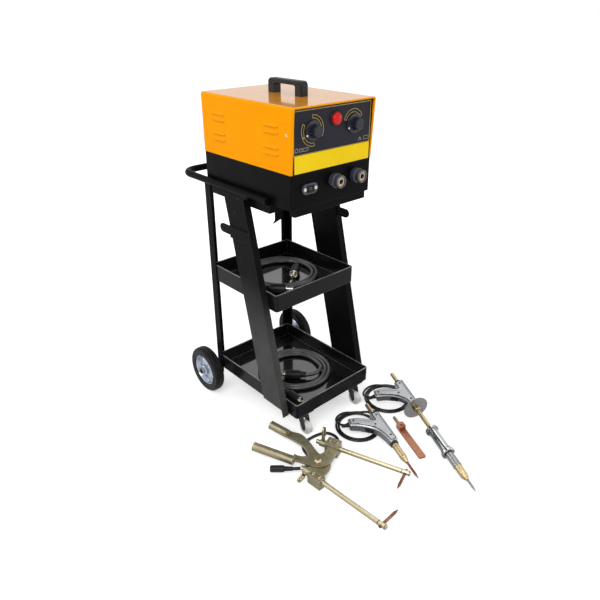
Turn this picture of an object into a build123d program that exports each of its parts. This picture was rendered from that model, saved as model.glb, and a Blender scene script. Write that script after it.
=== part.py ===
from build123d import *
import os
from math import asin, atan2, cos, degrees, pi, radians, sin, sqrt, tan

# Dent pulling welder: a spot welder case on a wheeled trolley, two cables in its trays,
# and its tools on the floor in front: tongs, two pulling guns and an earth bar.
# Millimetres. +Z up, floor at z = 0, the front faces -Y, x = 0 is the trolley's middle plane.

# Fits and clearances
run_fit = 0.05
body_gap = 0.3
lay_gap = 0.3
sheet = 2.0
plate = 3.0

# Trolley frame
frame_width = 296.0
frame_rear_y = 357.0
bottom_tray_front_y = -21.0
bottom_tray_z = 76.0
bottom_tray_height = 45.0
middle_tray_front_y = 60.0
middle_tray_z = 389.0
middle_tray_height = 49.0
tray_corner_radius = 7.0
platform_front_y = 80.0
platform_z = 683.0
platform_skirt = 21.0
leg_bottom_z = 72.0
leg_bottom_front_y = 14.0
leg_slope = 0.24
leg_width_y = 112.0
leg_flange = 18.0
post_leg = 25.0
post_bottom_z = 60.0
hook_length = 144.0
hook_height = 32.0
hook_tongue = 46.0
hook_tongue_height = 25.0
hook_plate = 4.0
left_hook_rear_y = 291.0
right_hook_front_y = 90.0
hook_z = 555.0
right_hook_z = 570.0
hanger_width = 26.0
hanger_drop = 158.0
hanger_lip = 9.0

# Push handle
grip_tube = 19.0
grip_side_gap = 1.0
grip_front_y = 87.0
grip_rear_y = 477.5
grip_bend = 45.0
grip_wall = 2.0

# Rear wheels
axle_diameter = 14.0
wheel_diameter = 150.0
wheel_width = 31.0
wheel_center_x = 189.0
rim_diameter = 100.0
hub_diameter = 30.0
hub_side_gap = 1.5
axle_cap = 22.0
axle_cap_depth = 8.0
rim_wall = 2.5
rim_holes = 8
rim_hole_diameter = 13.0
rim_hole_circle = 68.0

# Castors
castor_x = 105.0
castor_pivot_y = 2.0
castor_trail = 15.0
castor_wheel = 42.0
castor_wheel_width = 18.0
castor_plate = 46.0
castor_race = 27.0
castor_race_depth = 8.0
castor_crown = 34.0
castor_crown_depth = 5.0
castor_pin = 8.0
castor_head = 14.0
castor_rivet = 7.0
castor_cheek = 2.0

# Welder case
case_width = 276.0
case_front_y = 9.0
case_rear_y = 365.0
tub_height = 86.0
cover_height = 154.0
case_sheet = 1.5
cover_overhang = 8.0
cover_bend = 6.0
plinth_depth = 19.0
plinth_length = 250.0
plinth_width = 20.0
panel_thickness = 2.0
louvre_length = 50.0
louvre_rise = 6.0
louvre_proud = 4.0
louvre_pitch = 15.5
louvre_group_pitch = 50.0
louvre_top_z = 874.0
louvre_front_y = 80.0
louvre_rear_y = 291.0
top_handle_length = 130.0
top_handle_height = 36.0
top_handle_width = 24.0
top_handle_front_y = 112.0
top_handle_bar = 11.0
top_handle_leg = 24.0
vent_slots = 9
vent_slot_length = 70.0
vent_slot_width = 4.0
vent_pitch = 11.0

# Front controls
knob_diameter = 40.0
knob_proud = 22.0
knob_x = 70.0
knob_z = 865.0
knob_flutes = 12
shaft_diameter = 6.0
control_diameter = 32.0
control_depth = 28.0
lamp_x = 5.0
lamp_z = 884.0
lamp_diameter = 29.0
lamp_proud = 15.0
lamp_stem = 22.0
socket_diameter = 37.0
socket_proud = 28.0
socket_bore = 13.2
socket_bore_depth = 24.0
contact_diameter = 24.0
contact_stud = 12.0
contact_length = 58.0
socket_left_x = 5.0
socket_right_x = 82.0
socket_z = 735.0
control_socket_x = -81.0
control_socket_z = 730.0
control_socket_width = 50.0
control_socket_height = 26.0
control_socket_proud = 6.0

# Inside the case
core_width = 150.0
core_depth = 90.0
core_height = 130.0
core_limb = 25.0
core_y = 240.0
winding_wall = 14.0
board_width = 150.0
board_depth = 70.0
board_thickness = 1.6
board_y = 95.0
board_post = 8.0
board_post_height = 12.0
gland_side = 53.0
gland_z = 725.0
gland_thread = 20.0
gland_nut = 27.0
gland_bore = 10.0
gland_length = 24.0

# Welding cables in the trays
cable_diameter = 12.5
coil_pitch = 13.1
coil_inner_radius = 84.5
plug_body_length = 66.0
plug_body_diameter = 28.0
plug_pin_length = 20.0
plug_pin_diameter = 13.0
middle_coil_center = (20.0, 235.0)
middle_coil_start = 55.0
middle_coil_quarters = 9
bottom_coil_center = (10.0, 162.0)
bottom_coil_start = 15.0
bottom_coil_quarters = 10
middle_inner_plug = (78.6, 232.0, 40.0)
middle_outer_plug = (-100.0, 175.0, 135.0)
bottom_inner_plug = (6.0, 108.0, -44.0)
bottom_inner_bends = ((37.0, 91.0, 2.0), (77.0, 121.0, 62.0))
bottom_outer_plug = (-97.0, 87.0, 88.0)

# Pulling guns
gun_thickness = 28.0
gun_half_width = 14.0
gun_rear = 46.0
gun_a_nose = 167.0
gun_b_nose = 155.0
gun_edge = 5.0
gun_rod = 13.0
gun_tip_diameter = 7.0
holder_diameter = 18.5
trigger_length = 24.0
trigger_width = 10.0
trigger_proud = 5.0
trigger_depth = 9.0
trigger_travel = 3.0
gun_cable = 7.0
gun_loop_pitch = 7.6
gun_loop_entry_z = 10.0
gun_loop_entry_slope = 0.1
gun_a_loop = (25.0, -102.0, 53.0, 40.0, 8)
gun_b_loop = (195.0, -72.0, 58.0, 40.0, 9)
gun_plug_diameter = 14.0
gun_plug_length = 32.0
gun_a_stub = (89.0, -76.0, 36.0)
gun_a_heading = -109.9
gun_a_drop = 6.2
gun_a_roll = 4.0
gun_a_holder_end = 240.0
gun_a_tip_end = 297.0
gun_b_stub = (246.0, -43.0, 59.8)
gun_b_heading = -112.9
gun_b_drop = 6.5
gun_b_roll = 19.0
gun_b_disc = 160.0
disc_diameter = 78.0
disc_thickness = 3.0
weight_start = 252.0
weight_length = 98.0
weight_grip = 28.0
weight_flange = 39.0
weight_flange_depth = 8.0
chuck_length = 46.0
chuck_diameter = 24.0
gun_b_holder_length = 46.0
gun_b_tip_length = 38.0

# Tongs
tong_pivot_at = (-185.0, -146.0)
tong_plate = 6.0
tong_plate_z = 18.0
tong_bolt = 10.0
tong_bolt_head = 20.0
tong_bolt_head_depth = 6.0
tong_grip_width = 24.0
tong_grip_height = 22.0
tong_grip_round = 9.0
tong_grip_wall = 2.5
tong_grip_z = 10.3
tong_sleeve = 20.0
tong_sleeve_length = 20.0
tong_arm_diameter = 13.0
tong_arm_z = 22.0
tong_arm_tail = 12.0
tong_tip_diameter = 8.0
tong_tip_length = 74.0
tong_tip_point = 12.0
tong_eye_wire = 5.0
tong_eye_shank = 8.0
tong_eye_width = 18.0
base_eye = (40.0, 10.0)
base_grip_end = (-271.0, 24.0)
base_grip_root = (-226.0, -94.0)
base_outer_edge = (
    (-235.0, -95.0),
    (-214.0, -136.0),
    (-203.0, -158.0),
    (-180.0, -172.5),
    (-150.0, -169.0),
    (-120.0, -154.0),
)
base_inner_edge = (
    (-112.0, -108.0),
    (-126.0, -124.0),
    (-157.0, -131.5),
    (-188.0, -115.0),
    (-201.0, -106.0),
    (-213.0, -82.0),
)
base_block_at = (-108.0, -128.0)
base_block_size = (40.0, 34.0, 38.0)
base_arm_heading = -70.0
base_arm_length = 205.0
swing_eye = (28.0, 3.0)
swing_eye_droop = 15.0
swing_grip_end = (-176.0, 62.0)
swing_grip_root = (-166.0, 0.0)
swing_outer_edge = (
    (-154.0, 4.0),
    (-149.0, -10.0),
    (-141.0, -26.0),
    (-141.0, -52.0),
    (-149.0, -88.0),
    (-157.0, -119.0),
    (-155.0, -150.0),
    (-162.0, -173.0),
    (-186.0, -187.0),
    (-216.0, -194.0),
)
swing_inner_edge = (
    (-216.0, -162.0),
    (-210.0, -140.0),
    (-193.0, -122.0),
    (-180.0, -101.0),
    (-171.0, -78.0),
    (-171.0, -50.0),
    (-175.0, -24.0),
    (-178.0, -2.0),
)
swing_block_at = (-225.0, -182.0)
swing_block_size = (46.0, 24.0, 30.5)
swing_arm_heading = -87.0
swing_arm_length = 206.0
tong_cable_diameter = 9.0
tong_connector_diameter = 19.0
tong_connector_length = 62.0
tong_connector_at = (-240.0, -106.0)
tong_connector_heading = 138.0
tong_cable_turns = ((-175.3, -116.7), (-164.5, -55.6), (-126.9, -42.0))

# Earth bar
bar_start = (133.0, -150.0)
bar_heading = -113.8
bar_length = 120.0
bar_width = 21.0
bar_thickness = 6.0
bar_block_length = 24.0
bar_block_height = 17.0
bar_pin_diameter = 10.0
bar_pin_length = 34.0
bar_screw = 9.0

# Sizes worked out from the driving dimensions
half_frame = frame_width / 2
leg_outer_x = half_frame + plate
post_outer_y = frame_rear_y + plate
axle_y = post_outer_y + axle_diameter / 2
axle_z = wheel_diameter / 2
half_case = case_width / 2
tub_top_z = platform_z + tub_height
cover_top_z = tub_top_z + cover_height
grip_z = platform_z + grip_tube / 2
grip_x = half_case + grip_side_gap + grip_tube / 2
castor_z = castor_wheel / 2
castor_wheel_y = castor_pivot_y - castor_trail
race_top_z = bottom_tray_z - plate
race_bottom_z = race_top_z - castor_race_depth
crown_top_z = race_bottom_z - body_gap
crown_bottom_z = crown_top_z - castor_crown_depth
panel_back_y = case_front_y + panel_thickness
base_plate_z = tong_plate_z + tong_plate + body_gap


def heading(angle, drop=0.0):
    """Unit vector at an angle in the floor plane, dipping by drop degrees."""
    flat = cos(radians(drop))
    return Vector(cos(radians(angle)) * flat, sin(radians(angle)) * flat, -sin(radians(drop)))


def tool_plane(origin, angle, drop=0.0, roll=0.0):
    """Plane with X along a tool's axis and Z up from the floor, then rolled about that axis."""
    x_dir = heading(angle, drop)
    up = heading(angle, drop - 90)
    side = up.cross(x_dir)
    return Plane(origin, x_dir=x_dir, z_dir=up * cos(radians(roll)) - side * sin(radians(roll)))


def block(low, high, mode=Mode.ADD):
    """Add or cut a box between two opposite corners."""
    size = Vector(high) - Vector(low)
    with Locations((Vector(high) + Vector(low)) * 0.5):
        Box(size.X, size.Y, size.Z, mode=mode)


def rod(plane, diameter, start, end, mode=Mode.ADD):
    """Add or cut a round bar along a plane's X axis, from start to end."""
    face = Plane(plane.from_local_coords(Vector(start, 0, 0)), z_dir=plane.x_dir)
    with BuildSketch(face) as disc:
        Circle(diameter / 2)
    extrude(disc.sketch, amount=end - start, mode=mode)


def turned(plane, profile):
    """Revolve a closed (along, radius) outline about a plane's X axis."""
    with BuildSketch(plane) as outline:
        with BuildLine():
            Polyline(*profile, close=True)
        make_face()
    revolve(outline.sketch, axis=Axis(plane.origin, plane.x_dir))


def save(builder, name):
    """Label a finished piece and write it."""
    builder.part.label = name
    export_step(builder.part, "parts/" + name + ".step")


def biarc(start, start_dir, end, end_dir):
    """Two tangent arcs from one point and direction to another, inside a line block."""
    chord = end - start
    both = start_dir + end_dir
    spread = 2 * (1 - start_dir.dot(end_dir))
    along = chord.dot(both)
    if spread < 1e-9:
        reach = chord.dot(chord) / (4 * chord.dot(end_dir))
    else:
        reach = (sqrt(along * along + spread * chord.dot(chord)) - along) / spread
    first = start + start_dir * reach
    second = end - end_dir * reach
    middle = (first + second) * 0.5
    for near, way, far in ((start, start_dir, middle), (middle, (second - first).normalized(), end)):
        if way.cross((far - near).normalized()).length < 1e-6:
            Line(near, far)
        else:
            TangentArc(near, far, tangent=way)


def self_gap(path, diameter, label):
    """Print the least gap of a tube to itself, measured on points along its line."""
    count = int(path.length / (diameter * 0.6))
    points = path.positions([i / count for i in range(count + 1)])
    apart = int(6 * diameter / (path.length / count))
    gaps = [
        ((points[j] - points[i]).length, i)
        for i in range(len(points))
        for j in range(i + apart, len(points))
    ]
    least, spot = min(gaps)
    at = (round(points[spot].X), round(points[spot].Y))
    print(label, "length", round(path.length), "least self gap", round(least - diameter, 2), "at", at)


def check_volume(builder, path, diameter, label):
    """Print a tube's volume against its section times its length."""
    expected = path.length * pi * diameter * diameter / 4
    print(label, "volume over section times length", round(builder.part.volume / expected, 4))


os.makedirs("parts", exist_ok=True)

# Trays and platform, folded from sheet


def tray(front_y, floor_z, height):
    """Open sheet tray between the frame's legs, with rounded front corners."""
    with BuildPart() as pan:
        with BuildSketch(Plane.XY.offset(floor_z)) as outline:
            with Locations((0, (front_y + frame_rear_y) / 2)):
                Rectangle(frame_width, frame_rear_y - front_y)
            fillet(outline.vertices().group_by(Axis.Y)[0], tray_corner_radius)
        extrude(amount=height)
        offset(amount=-sheet, openings=pan.faces().sort_by(Axis.Z)[-1])
    return pan


middle_tray = tray(middle_tray_front_y, middle_tray_z, middle_tray_height)
save(middle_tray, "middle_tray")
bottom_tray = tray(bottom_tray_front_y, bottom_tray_z, bottom_tray_height)
save(bottom_tray, "bottom_tray")

with BuildPart() as platform:
    with BuildSketch(Plane.XY.offset(platform_z - platform_skirt)):
        with Locations((0, (platform_front_y + frame_rear_y) / 2)):
            Rectangle(frame_width, frame_rear_y - platform_front_y)
    extrude(amount=platform_skirt)
    offset(amount=-sheet, openings=platform.faces().sort_by(Axis.Z)[0])
save(platform, "platform")

# Slanted legs with their welded side hooks


def leg_face(side, width):
    """Draw the slanted outline of a leg, or of its front flange, on the frame's side plane."""
    top_z = platform_z - body_gap
    lean = leg_slope * (top_z - leg_bottom_z)
    with BuildSketch(Plane.YZ.offset(side * half_frame)) as outline:
        with BuildLine():
            Polyline(
                (leg_bottom_front_y, leg_bottom_z),
                (leg_bottom_front_y + width, leg_bottom_z),
                (leg_bottom_front_y + width + lean, top_z),
                (leg_bottom_front_y + lean, top_z),
                close=True,
            )
        make_face()
    return outline.sketch


def hook_face(side, tongue_end_y, way, low_z):
    """Draw a flat hook with a rounded tongue that points along way."""
    step_y = tongue_end_y - way * hook_tongue
    tongue_z = low_z + hook_height - hook_tongue_height / 2
    with BuildSketch(Plane.YZ.offset(side * leg_outer_x)) as outline:
        with Locations((step_y - way * (hook_length - hook_tongue) / 2, low_z + hook_height / 2)):
            Rectangle(hook_length - hook_tongue, hook_height)
        with Locations((step_y + way * (hook_tongue - hook_tongue_height) / 2, tongue_z)):
            SlotOverall(hook_tongue + hook_tongue_height, hook_tongue_height)
    return outline.sketch


with BuildPart() as slanted_legs:
    for side in (-1, 1):
        extrude(leg_face(side, leg_width_y), amount=side * plate)
        extrude(leg_face(side, plate), amount=side * (plate + leg_flange))
    extrude(hook_face(-1, left_hook_rear_y, 1, hook_z), amount=-hook_plate)
    extrude(hook_face(1, right_hook_front_y, -1, right_hook_z), amount=hook_plate)
save(slanted_legs, "slanted_legs")

with BuildPart() as rear_posts:
    with BuildSketch(Plane.XY.offset(post_bottom_z)):
        for side in (-1, 1):
            with Locations((side * (leg_outer_x - plate / 2), post_outer_y - post_leg / 2)):
                Rectangle(plate, post_leg)
            with Locations((side * (leg_outer_x - post_leg / 2), post_outer_y - plate / 2)):
                Rectangle(post_leg, plate)
    extrude(amount=platform_z - post_bottom_z)
    hanger_x = leg_outer_x - post_leg
    hanger_top_z = platform_z - platform_skirt
    hanger_low_z = hanger_top_z - hanger_drop
    with BuildSketch(Plane.XZ.offset(-post_outer_y)):
        with BuildLine():
            Polyline(
                (hanger_x, hanger_top_z),
                (hanger_x - hanger_width, hanger_top_z),
                (hanger_x - hanger_width, hanger_low_z + hanger_lip),
                (hanger_x - hanger_width - hanger_lip, hanger_low_z),
                (hanger_x, hanger_low_z + hanger_lip),
                close=True,
            )
        make_face()
    extrude(amount=plate)
save(rear_posts, "rear_posts")

with BuildPart() as push_handle:
    with BuildLine() as grip_line:
        FilletPolyline(
            (-grip_x, grip_front_y, grip_z),
            (-grip_x, grip_rear_y, grip_z),
            (grip_x, grip_rear_y, grip_z),
            (grip_x, grip_front_y, grip_z),
            radius=grip_bend,
        )
    with BuildSketch(Plane.XZ.offset(-grip_front_y)):
        with Locations((-grip_x, grip_z)):
            Circle(grip_tube / 2)
            Circle(grip_tube / 2 - grip_wall, mode=Mode.SUBTRACT)
    sweep(path=grip_line.wires()[0])
    with BuildSketch(Plane.XZ.offset(-grip_front_y)):
        with Locations((-grip_x, grip_z), (grip_x, grip_z)):
            Circle(grip_tube / 2 - grip_wall / 2)
    extrude(amount=-grip_wall)
save(push_handle, "push_handle")

# Rear axle and wheels

hub_in = leg_outer_x + hub_side_gap
hub_out = wheel_center_x + wheel_width / 2 + hub_side_gap
axle_half = hub_out + axle_cap_depth - grip_wall

with BuildPart() as axle:
    axle_plane = Plane((0, axle_y, axle_z), x_dir=(1, 0, 0), z_dir=(0, 0, 1))
    rod(axle_plane, axle_diameter, -axle_half, axle_half)
    for side in (-1, 1):
        cap_plane = Plane((0, axle_y, axle_z), x_dir=(side, 0, 0), z_dir=(0, 0, 1))
        bore = axle_diameter / 2 + run_fit
        turned(
            cap_plane,
            [
                (hub_out + body_gap, bore),
                (hub_out + body_gap, axle_cap / 2),
                (hub_out + axle_cap_depth, axle_cap / 2 - 2),
                (hub_out + axle_cap_depth, 0),
                (axle_half + run_fit, 0),
                (axle_half + run_fit, bore),
            ],
        )
save(axle, "axle")


def wheel_plane(side):
    """Plane through the axle with X pointing outward on one side."""
    return Plane((0, axle_y, axle_z), x_dir=(side, 0, 0), z_dir=(0, 0, 1))


def rim(side):
    """Pressed steel rim: hub tube, dished disc with a ring of holes, and the seat of the tyre."""
    bore = axle_diameter / 2 + run_fit
    hub = hub_diameter / 2
    seat = rim_diameter / 2
    disc = rim_wall / 2
    bead = wheel_width / 2 - rim_wall
    middle = wheel_center_x
    with BuildPart() as wheel:
        turned(
            wheel_plane(side),
            [
                (hub_in, bore),
                (hub_out, bore),
                (hub_out, hub - rim_wall),
                (hub_out - rim_wall, hub),
                (middle + disc + rim_wall, hub),
                (middle + disc, hub + 2 * rim_wall),
                (middle + disc, seat - 3 * rim_wall),
                (middle + bead, seat - rim_wall),
                (middle + bead, seat),
                (middle - bead, seat),
                (middle - bead, seat - rim_wall),
                (middle - disc, seat - 3 * rim_wall),
                (middle - disc, hub + rim_wall),
                (hub_in + rim_wall, hub),
                (hub_in, hub - rim_wall),
            ],
        )
        with BuildSketch(Plane.YZ.offset(side * (wheel_center_x - 2 * rim_wall))):
            with Locations((axle_y, axle_z)):
                with PolarLocations(rim_hole_circle / 2, rim_holes):
                    Circle(rim_hole_diameter / 2)
        extrude(amount=side * 4 * rim_wall, mode=Mode.SUBTRACT)
    return wheel


def tyre(side):
    """Solid rubber tyre with rounded shoulders and two tread grooves."""
    depth = (wheel_diameter - rim_diameter) / 2
    groove = wheel_width / 16
    with BuildPart() as wheel:
        with BuildSketch(wheel_plane(side)) as section:
            with Locations((wheel_center_x, rim_diameter / 2 + depth / 2)):
                Rectangle(wheel_width, depth)
            fillet(section.vertices().group_by(Axis.Y)[-1], depth * 0.36)
            with Locations((wheel_center_x, wheel_diameter / 2)):
                with GridLocations(wheel_width / 3, 0, 2, 1):
                    Rectangle(groove, 2 * groove, mode=Mode.SUBTRACT)
        revolve(axis=Axis((0, axle_y, axle_z), (1, 0, 0)))
    return wheel


for side_name, side in (("left", -1), ("right", 1)):
    save(rim(side), side_name + "_rim")
    save(tyre(side), side_name + "_tyre")

# Castors

with BuildPart() as castor_plates:
    for side in (-1, 1):
        at = Vector(side * castor_x, castor_pivot_y, 0)
        block(
            at + Vector(-castor_plate / 2, -castor_plate / 2, race_top_z),
            at + Vector(castor_plate / 2, castor_plate / 2, bottom_tray_z),
        )
        pin_plane = Plane(at + Vector(0, 0, race_top_z), x_dir=(0, 0, -1), z_dir=(0, 1, 0))
        pin_drop = race_top_z - crown_bottom_z + body_gap
        rod(pin_plane, castor_race, 0, castor_race_depth)
        rod(pin_plane, castor_pin, 0, pin_drop)
        rod(pin_plane, castor_head, pin_drop, pin_drop + plate)
save(castor_plates, "castor_plates")


def castor_fork(side):
    """Swivel fork: crown plate, two cheeks and the rivet that the wheel turns on."""
    cheek_in = castor_wheel_width / 2 + 2 * body_gap
    boss = castor_rivet
    with BuildPart() as fork:
        with BuildSketch(Plane.XY.offset(crown_bottom_z)):
            with Locations((side * castor_x, castor_pivot_y)):
                Circle(castor_crown / 2)
                Circle(castor_pin / 2 + run_fit, mode=Mode.SUBTRACT)
        extrude(amount=castor_crown_depth)
        for cheek in (-1, 1):
            with BuildSketch(Plane.YZ.offset(side * castor_x + cheek * cheek_in)):
                with BuildLine():
                    Polyline(
                        (castor_pivot_y - castor_head, crown_bottom_z),
                        (castor_pivot_y + castor_head, crown_bottom_z),
                        (castor_wheel_y + boss, castor_z),
                        (castor_wheel_y + boss / 2, castor_z - boss),
                        (castor_wheel_y - boss / 2, castor_z - boss),
                        (castor_wheel_y - boss, castor_z),
                        close=True,
                    )
                make_face()
            extrude(amount=cheek * castor_cheek)
        rivet_plane = Plane((side * castor_x, castor_wheel_y, castor_z), x_dir=(1, 0, 0), z_dir=(0, 0, 1))
        rivet_half = cheek_in + 2 * castor_cheek
        rod(rivet_plane, castor_rivet, -rivet_half, rivet_half)
    return fork


def castor_roller(side):
    """White castor wheel with rounded edges and a hub recess on each face."""
    half = castor_wheel_width / 2
    outer = castor_wheel / 2
    bore = castor_rivet / 2 + run_fit
    with BuildPart() as roller:
        turned(
            Plane((side * castor_x, castor_wheel_y, castor_z), x_dir=(1, 0, 0), z_dir=(0, 0, 1)),
            [
                (-half, bore),
                (-half, bore + plate),
                (-half + sheet, bore + plate + sheet),
                (-half + sheet, outer - 2 * plate),
                (-half, outer - plate - sheet),
                (-half, outer - plate),
                (-half + plate, outer),
                (half - plate, outer),
                (half, outer - plate),
                (half, outer - plate - sheet),
                (half - sheet, outer - 2 * plate),
                (half - sheet, bore + plate + sheet),
                (half, bore + plate),
                (half, bore),
            ],
        )
    return roller


for side_name, side in (("left", -1), ("right", 1)):
    save(castor_fork(side), side_name + "_castor_fork")
    save(castor_roller(side), side_name + "_castor_wheel")

# Welder case

cover_front_y = case_front_y - cover_overhang
cover_slant = cover_overhang + panel_thickness
panel_width = case_width - 2 * case_sheet
panel_height = cover_height - case_sheet
inner_bend = cover_bend - case_sheet

with BuildPart() as cover:
    with BuildSketch(Plane.XZ.offset(-cover_front_y)) as arch:
        with Locations((0, tub_top_z + cover_height / 2)):
            Rectangle(case_width, cover_height)
        fillet(arch.vertices().group_by(Axis.Y)[-1], cover_bend)
    extrude(amount=-(case_rear_y - cover_front_y))
    with BuildSketch(Plane.XZ.offset(-cover_front_y)) as hollow:
        with Locations((0, tub_top_z + panel_height / 2)):
            Rectangle(panel_width, panel_height)
        fillet(hollow.vertices().group_by(Axis.Y)[-1], inner_bend)
    extrude(amount=-(case_rear_y - cover_front_y), mode=Mode.SUBTRACT)
    with BuildSketch(Plane.YZ):
        with BuildLine():
            Polyline(
                (cover_front_y, tub_top_z),
                (cover_front_y + cover_slant, tub_top_z),
                (cover_front_y, cover_top_z),
                close=True,
            )
        make_face()
    extrude(amount=case_width, both=True, mode=Mode.SUBTRACT)
    for group_y in (louvre_front_y, louvre_rear_y):
        for inset, mode in ((0.0, Mode.ADD), (1.2, Mode.SUBTRACT)):
            with BuildSketch(Plane.XZ.offset(-group_y)):
                for side in (-1, 1):
                    for row in range(4):
                        low_z = louvre_top_z - (row // 2) * louvre_group_pitch - (row % 2) * louvre_pitch
                        root_x = side * (half_case - inset * 2)
                        with BuildLine():
                            Polyline(
                                (root_x, low_z - inset / 4),
                                (side * (half_case + louvre_proud - inset), low_z - inset / 4),
                                (root_x, low_z + louvre_rise - inset / 2),
                                close=True,
                            )
                        make_face()
            extrude(amount=louvre_length / 2 - inset, both=True, mode=mode)
save(cover, "cover")

with BuildPart() as tub:
    with BuildSketch(Plane.XY.offset(platform_z)) as base:
        with Locations((0, (case_front_y + case_rear_y) / 2)):
            Rectangle(case_width, case_rear_y - case_front_y)
        fillet(base.vertices(), 2 * case_sheet)
    extrude(amount=tub_height)
    offset(amount=-case_sheet, openings=tub.faces().sort_by(Axis.Z)[-1])
    block(
        (-plinth_length / 2, case_front_y + case_sheet, platform_z - plinth_depth),
        (plinth_length / 2, case_front_y + case_sheet + plinth_width, platform_z + case_sheet),
    )
    with BuildSketch(Plane.XZ.offset(-case_front_y)):
        with Locations((socket_left_x, socket_z), (socket_right_x, socket_z)):
            Circle(contact_diameter / 2 + plate)
        with Locations((control_socket_x, control_socket_z)):
            Rectangle(control_socket_width / 2, control_socket_height * 0.7)
    extrude(amount=-case_sheet, mode=Mode.SUBTRACT)
    with BuildSketch(Plane.XZ.offset(-case_rear_y)):
        with Locations((gland_side - half_case, gland_z)):
            Circle(gland_thread / 2)
    extrude(amount=case_sheet, mode=Mode.SUBTRACT)
save(tub, "tub")

with BuildPart() as front_panel:
    with BuildSketch(Plane.XZ.offset(-case_front_y)) as face:
        with Locations((0, tub_top_z + panel_height / 2)):
            Rectangle(panel_width, panel_height)
        fillet(face.vertices().group_by(Axis.Y)[-1], inner_bend)
        with Locations((-knob_x, knob_z), (knob_x, knob_z)):
            Circle(shaft_diameter / 2 + run_fit, mode=Mode.SUBTRACT)
        with Locations((lamp_x, lamp_z)):
            Circle(lamp_stem / 2, mode=Mode.SUBTRACT)
    extrude(amount=-panel_thickness)
save(front_panel, "front_panel")

with BuildPart() as rear_panel:
    with BuildSketch(Plane.XZ.offset(-case_rear_y)) as face:
        with Locations((0, tub_top_z + panel_height / 2)):
            Rectangle(panel_width, panel_height)
        fillet(face.vertices().group_by(Axis.Y)[-1], inner_bend)
        with Locations((0, tub_top_z + panel_height / 2)):
            with GridLocations(vent_slot_length * 1.3, vent_pitch, 2, vent_slots):
                SlotOverall(vent_slot_length, vent_slot_width, mode=Mode.SUBTRACT)
    extrude(amount=panel_thickness)
save(rear_panel, "rear_panel")

with BuildPart() as top_handle:
    with BuildSketch(Plane.YZ) as bridge:
        with Locations((top_handle_front_y + top_handle_length / 2, cover_top_z + top_handle_height / 2)):
            Rectangle(top_handle_length, top_handle_height)
        fillet(bridge.vertices().group_by(Axis.Y)[-1], top_handle_bar)
    extrude(amount=top_handle_width / 2, both=True)
    finger_height = top_handle_height - top_handle_bar
    with BuildSketch(Plane.YZ) as finger:
        with Locations((top_handle_front_y + top_handle_length / 2, cover_top_z + finger_height / 2)):
            Rectangle(top_handle_length - 2 * top_handle_leg, finger_height)
        fillet(finger.vertices().group_by(Axis.Y)[-1], top_handle_bar / 2)
    extrude(amount=top_handle_width, both=True, mode=Mode.SUBTRACT)
    fillet(top_handle.faces().sort_by(Axis.Z)[-1].edges().filter_by(Axis.Y), top_handle_bar / 3)
save(top_handle, "top_handle")

# Knobs, lamp and sockets on the front


def knob(at_x):
    """Fluted control knob with a skirt, and the shaft that goes through the panel."""
    radius = knob_diameter / 2
    skirt = knob_proud / 5
    axis_plane = Plane((at_x, case_front_y - body_gap, knob_z), x_dir=(0, -1, 0), z_dir=(0, 0, 1))
    with BuildPart() as cap:
        turned(
            axis_plane,
            [
                (0, 0),
                (0, radius),
                (skirt * 0.7, radius),
                (skirt, radius * 0.82),
                (knob_proud - skirt / 2, radius * 0.72),
                (knob_proud, radius * 0.6),
                (knob_proud, 0),
            ],
        )
        with BuildSketch(Plane(axis_plane.from_local_coords(Vector(skirt, 0, 0)), z_dir=(0, -1, 0))):
            with PolarLocations(radius * 0.84, knob_flutes):
                Circle(radius * 0.11)
        extrude(amount=knob_proud, mode=Mode.SUBTRACT)
        rod(axis_plane, shaft_diameter, -(body_gap + panel_thickness + control_depth / 2), 0)
    return cap


save(knob(-knob_x), "left_knob")
save(knob(knob_x), "right_knob")

with BuildPart() as panel_controls:
    for at_x in (-knob_x, knob_x):
        with BuildSketch(Plane.XZ.offset(-panel_back_y)):
            with Locations((at_x, knob_z)):
                Circle(control_diameter / 2)
                Circle(shaft_diameter / 2 + run_fit, mode=Mode.SUBTRACT)
        extrude(amount=-control_depth)
    with BuildSketch(Plane.XZ.offset(-panel_back_y)):
        with Locations((lamp_x, lamp_z)):
            Circle(lamp_diameter / 2)
    extrude(amount=-control_depth)
save(panel_controls, "panel_controls")

with BuildPart() as lamp_lens:
    lamp_plane = Plane((lamp_x, panel_back_y, lamp_z), x_dir=(0, -1, 0), z_dir=(0, 0, 1))
    dome_at = panel_thickness + lamp_proud / 2
    dome_end = panel_thickness + lamp_proud
    dome_radius = (lamp_diameter**2 + lamp_proud**2) / (4 * lamp_proud)
    dome_half = asin(lamp_diameter / 2 / dome_radius) / 2
    dome_middle = (dome_end - dome_radius * (1 - cos(dome_half)), dome_radius * sin(dome_half))
    with BuildSketch(lamp_plane):
        with BuildLine():
            Polyline(
                (0, 0),
                (0, lamp_stem / 2),
                (panel_thickness, lamp_stem / 2),
                (panel_thickness, lamp_diameter / 2),
                (dome_at, lamp_diameter / 2),
            )
            ThreePointArc((dome_at, lamp_diameter / 2), dome_middle, (dome_end, 0))
            Line((dome_end, 0), (0, 0))
        make_face()
    revolve(axis=Axis(lamp_plane.origin, lamp_plane.x_dir))
save(lamp_lens, "lamp_lens")


def socket_plane(at_x):
    """Plane on the tub's front wall with X pointing out of a power socket."""
    return Plane((at_x, case_front_y, socket_z), x_dir=(0, -1, 0), z_dir=(0, 0, 1))


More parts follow.
